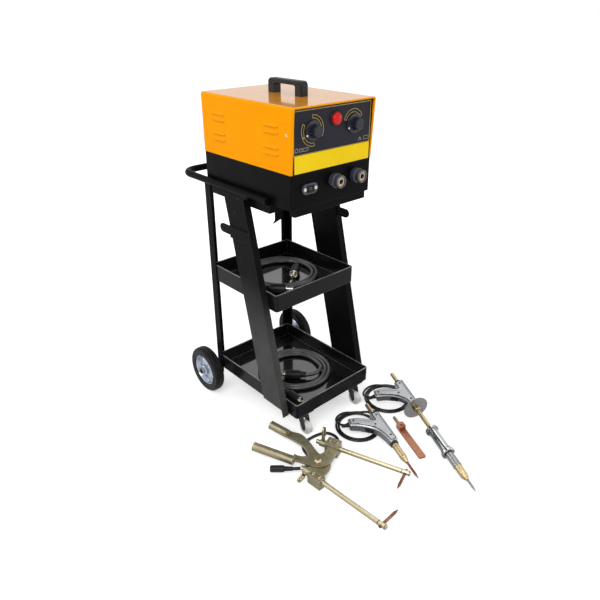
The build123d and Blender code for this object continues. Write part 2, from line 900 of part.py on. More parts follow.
with BuildPart() as front_sockets:
    for at_x in (socket_left_x, socket_right_x):
        seat = contact_diameter / 2
        turned(
            socket_plane(at_x),
            [
                (-case_sheet, seat),
                (-case_sheet, seat + plate),
                (0, seat + plate),
                (0, socket_diameter / 2),
                (socket_proud * 0.4, socket_diameter / 2),
                (socket_proud * 0.45, socket_diameter / 2 - sheet),
                (socket_proud - sheet, socket_diameter / 2 - sheet),
                (socket_proud, socket_diameter / 2 - 2 * sheet),
                (socket_proud, seat),
            ],
        )
    with BuildSketch(Plane.XZ.offset(-case_front_y)):
        with Locations((control_socket_x, control_socket_z)):
            SlotOverall(control_socket_width, control_socket_height)
    extrude(amount=control_socket_proud)
    with BuildSketch(Plane.XZ.offset(-case_front_y)):
        with Locations((control_socket_x, control_socket_z)):
            Rectangle(control_socket_width / 2, control_socket_height * 0.7)
    extrude(amount=-control_socket_width / 2)
    with BuildSketch(Plane.XZ.offset(-case_front_y + control_socket_proud)):
        with Locations((control_socket_x, control_socket_z)):
            Rectangle(control_socket_width * 0.32, control_socket_height * 0.5)
    extrude(amount=-control_socket_proud * 2, mode=Mode.SUBTRACT)
save(front_sockets, "front_sockets")

with BuildPart() as socket_contacts:
    for at_x in (socket_left_x, socket_right_x):
        mouth = socket_proud - sheet
        turned(
            socket_plane(at_x),
            [
                (mouth, socket_bore / 2),
                (mouth - socket_bore_depth, socket_bore / 2),
                (mouth - socket_bore_depth, 0),
                (mouth - contact_length, 0),
                (mouth - contact_length, contact_stud / 2),
                (-case_sheet - plate, contact_stud / 2),
                (-case_sheet - plate, contact_diameter / 2),
                (mouth, contact_diameter / 2),
            ],
        )
save(socket_contacts, "socket_contacts")

# Inside the case

floor_z = platform_z + case_sheet
window_height = core_height - 2 * core_limb
window_width = (core_width - 4 * core_limb) / 2

with BuildPart() as transformer_core:
    with BuildSketch(Plane.XZ.offset(-core_y)):
        with Locations((0, floor_z + core_height / 2)):
            Rectangle(core_width, core_height)
            with GridLocations(2 * core_limb + window_width, 0, 2, 1):
                Rectangle(window_width, window_height, mode=Mode.SUBTRACT)
    extrude(amount=core_depth / 2, both=True)
save(transformer_core, "transformer_core")

with BuildPart() as transformer_windings:
    with BuildSketch(Plane.XY.offset(floor_z + core_limb)) as turns:
        with Locations((0, core_y)):
            Rectangle(2 * (core_limb + winding_wall), core_depth + 2 * winding_wall)
        fillet(turns.vertices(), winding_wall / 2)
        with Locations((0, core_y)):
            Rectangle(2 * (core_limb + body_gap), core_depth + 2 * body_gap, mode=Mode.SUBTRACT)
    extrude(amount=window_height - body_gap)
save(transformer_windings, "transformer_windings")

with BuildPart() as control_board:
    board_z = floor_z + board_post_height
    with BuildSketch(Plane.XY.offset(board_z)):
        with Locations((0, board_y)):
            Rectangle(board_width, board_depth)
    extrude(amount=board_thickness)
    with BuildSketch(Plane.XY.offset(floor_z)):
        with Locations((0, board_y)):
            with GridLocations(board_width - 2 * board_post, board_depth - 2 * board_post, 2, 2):
                Circle(board_post / 2)
    extrude(amount=board_post_height)
    with BuildSketch(Plane.XY.offset(board_z + board_thickness)):
        with Locations((0, board_y)):
            with GridLocations(board_width / 3, board_depth / 2.5, 3, 2):
                Rectangle(board_width / 6, board_depth / 5)
    extrude(amount=board_post_height)
save(control_board, "control_board")

with BuildPart() as mains_gland:
    gland_plane = Plane((gland_side - half_case, case_rear_y, gland_z), x_dir=(0, 1, 0), z_dir=(0, 0, 1))
    turned(
        gland_plane,
        [
            (-gland_length / 2, gland_bore / 2),
            (-gland_length / 2, gland_thread / 2),
            (0, gland_thread / 2),
            (0, gland_nut / 2),
            (gland_length / 3, gland_nut / 2),
            (gland_length * 0.4, gland_thread / 2),
            (gland_length, gland_thread / 2 - sheet),
            (gland_length, gland_bore / 2),
        ],
    )
save(mains_gland, "mains_gland")

# Cables: flat spirals with a plug at each end


def spiral(center, z, start_radius, pitch, start_angle, quarters, way):
    """Points and directions of a flat opening spiral, one each quarter turn; way 1 is anticlockwise."""
    stops = []
    spread = pitch / (2 * pi)
    for i in range(quarters + 1):
        turn = radians(start_angle + way * 90 * i)
        radius = start_radius + pitch * i / 4
        out = Vector(cos(turn), sin(turn), 0)
        along = Vector(-sin(turn), cos(turn), 0) * way
        point = Vector(center[0], center[1], z) + out * radius
        stops.append((point, (out * spread + along * radius).normalized()))
    return stops


def cable(first_end, stops, last_end, diameter, label):
    """Sweep one tube from end to end: straight for one diameter at each end, biarcs between."""
    first_point, first_way = first_end
    last_point, last_way = last_end
    inner = [(first_point + first_way * diameter, first_way)]
    inner += stops
    inner += [(last_point - last_way * diameter, last_way)]
    with BuildPart() as tube:
        with BuildLine() as route:
            Line(first_point, inner[0][0])
            for near, far in zip(inner, inner[1:]):
                biarc(near[0], near[1], far[0], far[1])
            Line(inner[-1][0], last_point)
        path = route.wires()[0]
        with BuildSketch(Plane(first_point, z_dir=first_way)):
            Circle(diameter / 2)
        sweep(path=path)
    bends = [edge.radius for edge in path.edges() if edge.geom_type == GeomType.CIRCLE]
    print(label, "least bend radius", round(min(bends), 1))
    self_gap(path, diameter, label)
    check_volume(tube, path, diameter, label)
    return tube


def plug_end(spot, z):
    """Rear face of a plug and the way from its pin to that face."""
    return Vector(spot[0], spot[1], z), heading(spot[2])


def tray_cable(tray_z, center, start, quarters, inner_plug, inner_bends, outer_plug, label):
    """One welding cable lying in a tray, between its inner and outer plugs."""
    floor = tray_z + sheet + lay_gap
    stops = spiral(center, floor + cable_diameter / 2, coil_inner_radius, coil_pitch, start, quarters, 1)
    plug_z = floor + plug_body_diameter / 2
    first = plug_end(inner_plug, plug_z)
    last_point, last_way = plug_end(outer_plug, plug_z)
    stops = [(Vector(x, y, plug_z), heading(angle)) for x, y, angle in inner_bends] + stops
    return cable(first, stops, (last_point, last_way * -1), cable_diameter, label)


middle_coil = tray_cable(
    middle_tray_z,
    middle_coil_center,
    middle_coil_start,
    middle_coil_quarters,
    middle_inner_plug,
    (),
    middle_outer_plug,
    "middle_coil",
)
save(middle_coil, "middle_coil")
bottom_coil = tray_cable(
    bottom_tray_z,
    bottom_coil_center,
    bottom_coil_start,
    bottom_coil_quarters,
    bottom_inner_plug,
    bottom_inner_bends,
    bottom_outer_plug,
    "bottom_coil",
)
save(bottom_coil, "bottom_coil")

plug_planes = []
for tray_z, spot in (
    (middle_tray_z, middle_inner_plug),
    (middle_tray_z, middle_outer_plug),
    (bottom_tray_z, bottom_inner_plug),
    (bottom_tray_z, bottom_outer_plug),
):
    plug_at, plug_way = plug_end(spot, tray_z + sheet + lay_gap + plug_body_diameter / 2)
    plug_planes.append(Plane(plug_at, x_dir=plug_way * -1, z_dir=(0, 0, 1)))

with BuildPart() as plug_bodies:
    for plug_plane in plug_planes:
        wide = plug_body_diameter / 2
        turned(
            plug_plane,
            [
                (0, 0),
                (0, cable_diameter / 2 + sheet),
                (plug_body_length * 0.25, wide * 0.75),
                (plug_body_length * 0.32, wide),
                (plug_body_length - sheet, wide),
                (plug_body_length, wide - sheet),
                (plug_body_length, 0),
            ],
        )
save(plug_bodies, "plug_bodies")

with BuildPart() as plug_pins:
    for plug_plane in plug_planes:
        turned(
            plug_plane,
            [
                (plug_body_length, 0),
                (plug_body_length, plug_pin_diameter / 2),
                (plug_body_length + plug_pin_length - sheet, plug_pin_diameter / 2),
                (plug_body_length + plug_pin_length, plug_pin_diameter / 2 - sheet),
                (plug_body_length + plug_pin_length, 0),
            ],
        )
save(plug_pins, "plug_pins")

# Pulling guns: X runs along the barrel from its rear stub, the handle leaves on the -Y side

gun_a_plane = tool_plane(gun_a_stub, gun_a_heading, gun_a_drop, gun_a_roll)
gun_b_plane = tool_plane(gun_b_stub, gun_b_heading, gun_b_drop, gun_b_roll)
handle_toe = Vector(66, -88)
handle_heel = Vector(38, -85)
handle_root = Vector(80, -19)
guard_line = ((140, -13.5), (116, -22), (95, -40), (78, -62))
back_line = ((46, -58), (62, -36))
handle_way = (Vector(*guard_line[3]) - Vector(*guard_line[1])).normalized()
press_out = Vector(-handle_way.Y, handle_way.X, 0)
trigger_at = Vector(*guard_line[2])
butt_middle = (handle_toe + handle_heel) * 0.5
butt_edge = (handle_heel - handle_toe).normalized()
butt_out = Vector(-butt_edge.Y, butt_edge.X, 0)


def trigger_plane(plane):
    """Plane on the handle's front edge with X pointing out of the trigger pocket."""
    turn = degrees(atan2(press_out.Y, press_out.X))
    local = Plane((trigger_at.X, trigger_at.Y, 0), x_dir=(cos(radians(turn)), sin(radians(turn)), 0))
    return Plane(plane.location * local.location)


def trigger_block(plane, deep, proud, grow):
    """A rounded bar across the trigger pocket, grown by a clearance on its sides."""
    face = trigger_plane(plane)
    start = Plane(face.from_local_coords(Vector(-deep, 0, 0)), x_dir=face.y_dir, z_dir=face.x_dir)
    with BuildSketch(start) as section:
        RectangleRounded(trigger_length + 2 * grow, trigger_width + 2 * grow, trigger_width / 4)
    return section.sketch, deep + proud


def gun_body(plane, nose):
    """Plastic pistol body with a swept handle, the rod bore and the trigger pocket."""
    toe = (handle_toe.X, handle_toe.Y)
    heel = (handle_heel.X, handle_heel.Y)
    root = (handle_root.X, handle_root.Y)
    with BuildPart() as body:
        with BuildSketch(plane.offset(-gun_thickness / 2)) as outline:
            with BuildLine():
                Polyline(
                    (gun_rear, -gun_half_width),
                    (gun_rear, gun_half_width),
                    (nose - gun_edge, gun_half_width),
                    (nose, gun_half_width - gun_edge),
                    (nose, gun_edge - gun_half_width),
                )
                Spline((nose, gun_edge - gun_half_width), *guard_line, toe)
                Line(toe, heel)
                Spline(heel, *back_line, root)
                Polyline(root, (root[0] - gun_edge, -gun_half_width), (gun_rear, -gun_half_width))
            make_face()
            fillet(outline.vertices().sort_by(Axis.Y)[:2], gun_edge)
        extrude(amount=gun_thickness)
        rims = body.faces().filter_by(Axis(plane.origin, plane.z_dir)).edges()
        chamfer(rims, gun_edge * 0.8)
        rod(plane, gun_rod + 2 * run_fit, 0, nose + gun_edge, Mode.SUBTRACT)
        pocket_depth = trigger_depth + trigger_travel + body_gap
        pocket, reach = trigger_block(plane, pocket_depth, trigger_proud, body_gap)
        extrude(pocket, amount=reach, mode=Mode.SUBTRACT)
    return body


def gun_trigger(plane):
    """Push button that slides into the handle."""
    with BuildPart() as button:
        section, reach = trigger_block(plane, trigger_depth, trigger_proud, 0)
        extrude(section, amount=reach)
        fillet(button.faces().sort_by(Axis(plane.origin, trigger_plane(plane).x_dir))[-1].edges(), sheet / 2)
    return button


def gun_cable_tube(plane, loop, label):
    """Cable from the butt of the handle, down to a flat coil on the floor, ending in its plug."""
    center_x, center_y, radius, start, quarters = loop
    butt = plane.from_local_coords(butt_middle)
    leave = (plane.from_local_coords(butt_middle + butt_out) - butt).normalized()
    lay_z = lay_gap + gun_cable / 2
    stops = spiral((center_x, center_y), lay_z, radius, gun_loop_pitch, start, quarters, -1)
    entry_point, entry_way = stops[0]
    raised = Vector(entry_point.X, entry_point.Y, gun_loop_entry_z)
    stops[0] = (raised, (entry_way - Vector(0, 0, gun_loop_entry_slope)).normalized())
    end_point, end_way = stops[-1]
    plug_at = end_point + end_way * (4 * gun_cable) + Vector(0, 0, (gun_plug_diameter - gun_cable) / 2)
    tube = cable((butt, leave), stops, (plug_at, end_way), gun_cable, label)
    return tube, Plane(plug_at, x_dir=end_way, z_dir=(0, 0, 1))


def gun_plug(plane):
    """Small plug at the end of a gun's cable."""
    wide = gun_plug_diameter / 2
    with BuildPart() as plug:
        turned(
            plane,
            [
                (0, 0),
                (0, gun_cable / 2 + sheet / 2),
                (gun_plug_length * 0.2, wide * 0.75),
                (gun_plug_length * 0.25, wide),
                (gun_plug_length * 0.8, wide),
                (gun_plug_length * 0.84, wide * 0.65),
                (gun_plug_length, wide * 0.65),
                (gun_plug_length, 0),
            ],
        )
    return plug


for gun_name, gun_plane, gun_nose, gun_loop in (
    ("gun_a", gun_a_plane, gun_a_nose, gun_a_loop),
    ("gun_b", gun_b_plane, gun_b_nose, gun_b_loop),
):
    body = gun_body(gun_plane, gun_nose)
    print(gun_name, "lowest point of the body", round(body.part.bounding_box().min.Z, 2))
    save(body, gun_name + "_body")
    save(gun_trigger(gun_plane), gun_name + "_trigger")
    tube, plug_plane = gun_cable_tube(gun_plane, gun_loop, gun_name + "_cable")
    save(tube, gun_name + "_cable")
    save(gun_plug(plug_plane), gun_name + "_plug")

tip_seat = 2 * gun_tip_diameter
tip_bore = gun_tip_diameter + 2 * run_fit
nose_face = gun_a_nose + body_gap

with BuildPart() as gun_a_rod:
    rod(gun_a_plane, gun_rod, 0, nose_face)
    turned(
        gun_a_plane,
        [
            (nose_face, 0),
            (nose_face, holder_diameter / 2),
            (gun_a_holder_end - holder_diameter, holder_diameter / 2),
            (gun_a_holder_end, gun_tip_diameter / 2 + sheet / 2),
            (gun_a_holder_end, 0),
        ],
    )
    rod(gun_a_plane, tip_bore, gun_a_holder_end - tip_seat, gun_a_holder_end, Mode.SUBTRACT)
save(gun_a_rod, "gun_a_rod")


def pulling_tip(plane, start, end):
    """Pointed copper tip seated in a holder."""
    with BuildPart() as tip:
        turned(
            plane,
            [
                (start + run_fit, 0),
                (start + run_fit, gun_tip_diameter / 2),
                (end - 2 * gun_tip_diameter, gun_tip_diameter / 2),
                (end, gun_tip_diameter / 8),
                (end, 0),
            ],
        )
    return tip


save(pulling_tip(gun_a_plane, gun_a_holder_end - tip_seat, gun_a_tip_end), "gun_a_tip")

weight_stop = weight_start + weight_length + body_gap
chuck_end = weight_stop + chuck_length
hammer_holder_end = chuck_end + gun_b_holder_length
hammer_tip_end = hammer_holder_end + gun_b_tip_length

with BuildPart() as hammer_rod:
    rod(gun_b_plane, gun_rod, 0, chuck_end)
    turned(
        gun_b_plane,
        [
            (chuck_end, 0),
            (chuck_end, holder_diameter / 2),
            (hammer_holder_end - holder_diameter, holder_diameter / 2),
            (hammer_holder_end, gun_tip_diameter / 2 + sheet / 2),
            (hammer_holder_end, 0),
        ],
    )
    rod(gun_b_plane, tip_bore, hammer_holder_end - tip_seat, hammer_holder_end, Mode.SUBTRACT)
save(hammer_rod, "hammer_rod")
save(pulling_tip(gun_b_plane, hammer_holder_end - tip_seat, hammer_tip_end), "hammer_tip")

rod_bore = gun_rod / 2 + run_fit

with BuildPart() as hammer_collars:
    turned(
        gun_b_plane,
        [
            (gun_b_disc - disc_thickness / 2, rod_bore),
            (gun_b_disc - disc_thickness / 2, disc_diameter / 2),
            (gun_b_disc + disc_thickness / 2, disc_diameter / 2),
            (gun_b_disc + disc_thickness / 2, gun_rod),
            (gun_b_disc + gun_rod, gun_rod),
            (gun_b_disc + gun_rod, rod_bore),
        ],
    )
    turned(
        gun_b_plane,
        [
            (weight_stop, rod_bore),
            (weight_stop, chuck_diameter / 2),
            (chuck_end - sheet, chuck_diameter / 2),
            (chuck_end - body_gap, chuck_diameter / 2 - sheet),
            (chuck_end - body_gap, rod_bore),
        ],
    )
save(hammer_collars, "hammer_collars")

with BuildPart() as hammer_weight:
    weight_end = weight_start + weight_length
    turned(
        gun_b_plane,
        [
            (weight_start, rod_bore),
            (weight_start, weight_flange / 2 - sheet),
            (weight_start + sheet, weight_flange / 2),
            (weight_start + weight_flange_depth, weight_flange / 2),
            (weight_start + weight_flange_depth + sheet, weight_grip / 2),
            (weight_end - weight_flange_depth - sheet, weight_grip / 2),
            (weight_end - weight_flange_depth, weight_flange / 2),
            (weight_end - sheet, weight_flange / 2),
            (weight_end, weight_flange / 2 - sheet),
            (weight_end, rod_bore),
        ],
    )
save(hammer_weight, "hammer_weight")

# Tongs: the base jaw stays, the swing jaw turns on the pivot bolt


def tong_jaw(grip, edges, arm_plane, block_size, plate_z, pinch_way):
    """Curved plate lever with a round tube grip, a bored block for the arm and a pinch sleeve behind it."""
    grip_root, grip_end = (Vector(*spot, 0) for spot in grip)
    outer_edge, inner_edge = edges
    grip_run = grip_end - grip_root
    grip_plane = Plane(
        (grip_root.X, grip_root.Y, tong_grip_z + tong_grip_height / 2),
        x_dir=(-grip_run.Y, grip_run.X, 0),
        z_dir=grip_run,
    )
    block_length, block_width, block_height = block_size
    sleeve_at = -(block_length + tong_sleeve_length) / 2
    pinch_plane = Plane(
        arm_plane.from_local_coords(Vector(sleeve_at, 0, 0)), x_dir=pinch_way, z_dir=arm_plane.x_dir
    )
    bolt_plane = Plane((tong_pivot_at[0], tong_pivot_at[1], plate_z), x_dir=(0, 0, 1), z_dir=(1, 0, 0))
    inside_width = tong_grip_width - 2 * tong_grip_wall
    inside_height = tong_grip_height - 2 * tong_grip_wall
    with BuildPart() as jaw:
        with BuildSketch(Plane.XY.offset(plate_z)):
            with BuildLine():
                Spline(*outer_edge)
                Line(outer_edge[-1], inner_edge[0])
                Spline(*inner_edge)
                Line(inner_edge[-1], outer_edge[0])
            make_face()
        extrude(amount=tong_plate)
        with BuildSketch(grip_plane):
            RectangleRounded(tong_grip_width, tong_grip_height, tong_grip_round)
        extrude(amount=grip_run.length)
        with BuildSketch(grip_plane.offset(tong_grip_width)):
            RectangleRounded(inside_width, inside_height, tong_grip_round - tong_grip_wall)
        extrude(amount=grip_run.length, mode=Mode.SUBTRACT)
        with BuildSketch(Plane((arm_plane.origin.X, arm_plane.origin.Y, lay_gap), x_dir=arm_plane.x_dir)):
            RectangleRounded(block_length, block_width, plate)
        extrude(amount=block_height - lay_gap)
        sleeve_rear = arm_plane.from_local_coords(Vector(sleeve_at - tong_sleeve_length / 2, 0, 0))
        with BuildSketch(Plane(sleeve_rear, z_dir=arm_plane.x_dir)):
            Circle(tong_sleeve / 2)
        extrude(amount=tong_sleeve_length + plate)
        rod(arm_plane, tong_arm_diameter + 2 * run_fit, -2 * block_length, block_length, Mode.SUBTRACT)
        rod(pinch_plane, tong_eye_shank + 2 * run_fit, 0, tong_sleeve, Mode.SUBTRACT)
        rod(bolt_plane, tong_bolt + 2 * run_fit, 0, tong_plate, Mode.SUBTRACT)
    return jaw


def arm_end(block_size, arm_length):
    """Where an arm stops, from its block's middle."""
    return block_size[0] / 2 + arm_length


def tong_arm(arm_plane, block_size, arm_length, tip_way, pinch_way, eye):
    """Round arm with a cross hole for its tip, and the eye bolt that pinches it in the sleeve."""
    far_end = arm_end(block_size, arm_length)
    tip_plane = Plane(arm_plane.from_local_coords(Vector(far_end - tong_arm_diameter, 0, 0)),
                      x_dir=tip_way, z_dir=arm_plane.z_dir)
    sleeve_end = -(block_size[0] / 2 + tong_sleeve_length)
    pinch_at = arm_plane.from_local_coords(Vector(sleeve_end + tong_sleeve_length / 2, 0, 0))
    eye_height, eye_stand = eye
    seat = tong_arm_diameter / 2 + run_fit
    neck = tong_sleeve / 2 + eye_stand
    eye_plane = Plane(
        pinch_at + Vector(pinch_way) * (neck + eye_height / 2 - tong_eye_wire / 2),
        x_dir=pinch_way,
        z_dir=arm_plane.x_dir,
    )
    with BuildPart() as arm:
        rod(arm_plane, tong_arm_diameter, sleeve_end - tong_arm_tail, far_end)
        chamfer(arm.edges().filter_by(GeomType.CIRCLE), sheet / 2)
        rod(tip_plane, tong_tip_diameter + 2 * run_fit, -tong_arm_diameter, tong_arm_diameter, Mode.SUBTRACT)
        with BuildSketch(eye_plane):
            SlotOverall(eye_height, tong_eye_width)
            SlotOverall(
                eye_height - 2 * tong_eye_wire,
                tong_eye_width - 2 * tong_eye_wire,
                mode=Mode.SUBTRACT,
            )
        extrude(amount=tong_eye_wire / 2, both=True)
        rod(Plane(pinch_at, x_dir=pinch_way, z_dir=arm_plane.x_dir), tong_eye_shank, seat, neck)
    return arm


def tong_tip(arm_plane, block_size, arm_length, tip_way):
    """Pointed copper tip through the arm's cross hole."""
    far_end = arm_end(block_size, arm_length)
    tip_plane = Plane(arm_plane.from_local_coords(Vector(far_end - tong_arm_diameter, 0, 0)),
                      x_dir=tip_way, z_dir=arm_plane.z_dir)
    tail = tong_arm_diameter / 2 + plate
    radius = tong_tip_diameter / 2
    with BuildPart() as tip:
        turned(
            tip_plane,
            [
                (-tail, 0),
                (-tail, radius),
                (tong_tip_length - tail - tong_tip_point, radius),
                (tong_tip_length - tail, radius / 4),
                (tong_tip_length - tail, 0),
            ],
        )
    return tip


base_arm_plane = tool_plane((base_block_at[0], base_block_at[1], tong_arm_z), base_arm_heading)
swing_arm_plane = tool_plane((swing_block_at[0], swing_block_at[1], tong_arm_z), swing_arm_heading)
base_tip_way = heading(base_arm_heading - 90)
swing_tip_way = heading(swing_arm_heading + 90)
base_pinch = Vector(0, 0, 1)
swing_pinch = heading(swing_arm_heading - 90, swing_eye_droop)
pivot_low_z = tong_plate_z - body_gap
pivot_high_z = base_plate_z + tong_plate

base_jaw = tong_jaw(
    (base_grip_root, base_grip_end),
    (base_outer_edge, base_inner_edge),
    base_arm_plane,
    base_block_size,
    base_plate_z,
    base_pinch,
)
save(base_jaw, "tong_base_jaw")
swing_jaw = tong_jaw(
    (swing_grip_root, swing_grip_end),
    (swing_outer_edge, swing_inner_edge),
    swing_arm_plane,
    swing_block_size,
    tong_plate_z,
    swing_pinch,
)
save(swing_jaw, "tong_swing_jaw")
save(
    tong_arm(base_arm_plane, base_block_size, base_arm_length, base_tip_way, base_pinch, base_eye),
    "tong_base_arm",
)
save(
    tong_arm(swing_arm_plane, swing_block_size, swing_arm_length, swing_tip_way, swing_pinch, swing_eye),
    "tong_swing_arm",
)
save(tong_tip(base_arm_plane, base_block_size, base_arm_length, base_tip_way), "tong_base_tip")
save(tong_tip(swing_arm_plane, swing_block_size, swing_arm_length, swing_tip_way), "tong_swing_tip")

with BuildPart() as tong_pivot:
    bolt_plane = Plane((tong_pivot_at[0], tong_pivot_at[1], 0), x_dir=(0, 0, 1), z_dir=(1, 0, 0))
    turned(
        bolt_plane,
        [
            (pivot_low_z - tong_bolt_head_depth, 0),
            (pivot_low_z - tong_bolt_head_depth, tong_bolt_head / 2),
            (pivot_low_z, tong_bolt_head / 2),
            (pivot_low_z, tong_bolt / 2),
            (pivot_high_z, tong_bolt / 2),
            (pivot_high_z, tong_bolt_head / 2),
            (pivot_high_z + tong_bolt_head_depth / 2, tong_bolt_head / 2),
            (pivot_high_z + tong_bolt_head_depth, tong_bolt_head / 4),
            (pivot_high_z + tong_bolt_head_depth, 0),
        ],
    )
save(tong_pivot, "tong_pivot")

# Tong cable: limp, on the floor, from its connector under the levers to the base block

cable_face = base_arm_plane.origin + heading(base_arm_heading + 90) * (base_block_size[1] / 2)
cable_z = lay_gap + tong_cable_diameter / 2
last_way = heading(base_arm_heading - 90)
cable_end = Vector(cable_face.X, cable_face.Y, cable_z)
cable_turns = [
    cable_end,
    cable_end - last_way * 26,
    cable_end - last_way * 26 - heading(base_arm_heading - 45) * 30,
    cable_end - last_way * 26 - heading(base_arm_heading - 45) * 30 - heading(base_arm_heading) * 36,
]
connector_z = lay_gap + tong_connector_diameter / 2
connector_start = Vector(tong_connector_at[0], tong_connector_at[1], connector_z)
first_way = heading(tong_connector_heading + 180)
tong_route = [connector_start, connector_start + first_way * 36.5]
tong_route += [Vector(spot[0], spot[1], cable_z) for spot in tong_cable_turns]
tong_route += cable_turns[::-1]


def limp_radii(points):
    """Bend radius at each inner point, from the shorter run beside it."""
    radii = []
    for before, at, after in zip(points, points[1:], points[2:]):
        come = at - before
        go = after - at
        half = radians(come.get_angle(go)) / 2
        radii.append(0.45 * min(come.length, go.length) / tan(half))
    return radii


tong_radii = limp_radii(tong_route)
print("tong_cable bend radii", [round(radius, 1) for radius in tong_radii])

with BuildPart() as tong_cable:
    with BuildLine() as tong_line:
        FilletPolyline(*tong_route, radius=tong_radii)
    tong_path = tong_line.wires()[0]
    with BuildSketch(Plane(connector_start, z_dir=first_way)):
        Circle(tong_cable_diameter / 2)
    sweep(path=tong_path)
save(tong_cable, "tong_cable")
self_gap(tong_path, tong_cable_diameter, "tong_cable")
check_volume(tong_cable, tong_path, tong_cable_diameter, "tong_cable")

with BuildPart() as tong_connector:
    wide = tong_connector_diameter / 2
    turned(
        Plane(connector_start, x_dir=first_way * -1, z_dir=(0, 0, 1)),
        [
            (0, 0),
            (0, tong_cable_diameter / 2 + sheet / 2),
            (tong_connector_length * 0.35, wide * 0.7),
            (tong_connector_length * 0.42, wide),
            (tong_connector_length - plate, wide),
            (tong_connector_length, wide - sheet),
            (tong_connector_length, wide * 0.6),
            (tong_connector_length * 0.7, wide * 0.6),
            (tong_connector_length * 0.7, 0),
        ],
    )
save(tong_connector, "tong_connector")

# Earth bar

bar_plane = tool_plane((bar_start[0], bar_start[1], lay_gap), bar_heading)
pin_z = bar_block_height / 2
bar_from = bar_pin_length
block_end = bar_from + bar_block_length

with BuildPart() as ground_bar:
    with BuildSketch(bar_plane):
        with Locations((block_end + bar_length / 2 - plate, 0)):
            RectangleRounded(bar_length + 2 * plate, bar_width, plate)
    extrude(amount=bar_thickness)
    with BuildSketch(bar_plane):
        with Locations((bar_from + bar_block_length / 2, 0)):
            RectangleRounded(bar_block_length, bar_width, plate)
    extrude(amount=bar_block_height)
    pin_start = bar_plane.from_local_coords(Vector(0, 0, pin_z))
    pin_plane = Plane(pin_start, x_dir=bar_plane.x_dir, z_dir=(0, 0, 1))
    rod(pin_plane, bar_pin_diameter + 2 * run_fit, bar_from, bar_from + bar_block_length / 2, Mode.SUBTRACT)
    screw_plane = Plane(
        bar_plane.from_local_coords(Vector(bar_from + bar_block_length / 2, 0, bar_block_height)),
        x_dir=(0, 0, 1),
        z_dir=bar_plane.x_dir,
    )
    rod(screw_plane, bar_screw, 0, bar_screw / 2)
save(ground_bar, "ground_bar")

with BuildPart() as ground_pin:
    rod(pin_plane, bar_pin_diameter, 0, bar_from + bar_block_length / 2 - run_fit)
    chamfer(ground_pin.edges().filter_by(GeomType.CIRCLE), sheet / 2)
save(ground_pin, "ground_pin")
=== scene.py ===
from math import cos, pi, radians, sin

import bmesh
import bpy
from mathutils import Matrix, Vector


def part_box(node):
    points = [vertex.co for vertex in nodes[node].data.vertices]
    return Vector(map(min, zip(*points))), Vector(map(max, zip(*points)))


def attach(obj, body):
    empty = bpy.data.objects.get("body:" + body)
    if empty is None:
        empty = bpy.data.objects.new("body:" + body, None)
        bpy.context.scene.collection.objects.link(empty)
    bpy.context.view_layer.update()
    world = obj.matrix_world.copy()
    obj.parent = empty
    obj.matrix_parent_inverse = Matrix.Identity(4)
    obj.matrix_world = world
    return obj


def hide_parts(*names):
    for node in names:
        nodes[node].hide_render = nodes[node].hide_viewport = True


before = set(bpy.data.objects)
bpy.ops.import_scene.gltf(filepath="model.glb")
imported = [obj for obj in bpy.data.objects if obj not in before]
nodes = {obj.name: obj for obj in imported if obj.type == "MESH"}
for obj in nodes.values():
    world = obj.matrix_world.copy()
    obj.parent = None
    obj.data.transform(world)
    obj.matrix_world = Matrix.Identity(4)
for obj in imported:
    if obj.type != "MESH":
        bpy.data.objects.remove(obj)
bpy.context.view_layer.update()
MM = 0.001

# Camera at the photograph's viewing angle, worked out for a 600 by 600 picture

CAMERA_AZIMUTH = radians(-42.498)
CAMERA_ELEVATION = radians(27.538)
CAMERA_ROLL = radians(0.15)
CAMERA_DISTANCE = 1.68068
CAMERA_TARGET = Vector((-0.00124, 0.1173, 0.35187))
FOCAL_PIXELS = 572.275
PICTURE = 600.0
SHIFT_PIXELS = (-2.58, 1.07)
SENSOR_WIDTH = 36.0

back = Vector((
    sin(CAMERA_AZIMUTH) * cos(CAMERA_ELEVATION),
    -cos(CAMERA_AZIMUTH) * cos(CAMERA_ELEVATION),
    sin(CAMERA_ELEVATION),
))
right = Vector((0, 0, 1)).cross(back).normalized()
up = back.cross(right)
rolled_right = right * cos(CAMERA_ROLL) + up * sin(CAMERA_ROLL)
rolled_up = up * cos(CAMERA_ROLL) - right * sin(CAMERA_ROLL)
camera_at = CAMERA_TARGET + back * CAMERA_DISTANCE
camera_data = bpy.data.cameras.new("camera")
camera_data.sensor_fit = "HORIZONTAL"
camera_data.sensor_width = SENSOR_WIDTH
camera_data.lens = FOCAL_PIXELS / PICTURE * SENSOR_WIDTH
camera_data.shift_x = SHIFT_PIXELS[0] / PICTURE
camera_data.shift_y = SHIFT_PIXELS[1] / PICTURE
camera_data.clip_end = 50.0
camera = bpy.data.objects.new("camera", camera_data)
camera.matrix_world = Matrix((
    (rolled_right.x, rolled_up.x, back.x, camera_at.x),
    (rolled_right.y, rolled_up.y, back.y, camera_at.y),
    (rolled_right.z, rolled_up.z, back.z, camera_at.z),
    (0, 0, 0, 1),
))
bpy.context.scene.collection.objects.link(camera)
bpy.context.scene.camera = camera
bpy.context.scene.view_settings.view_transform = "Standard"

# Materials

EDGE_TURNS = (0.995, 0.86)  # cosines between a face and its rounded normal: no edge colour, full edge colour (wear and painted highlight)
GRAIN_DEPTH = 0.0002  # of the finest bump, in metres


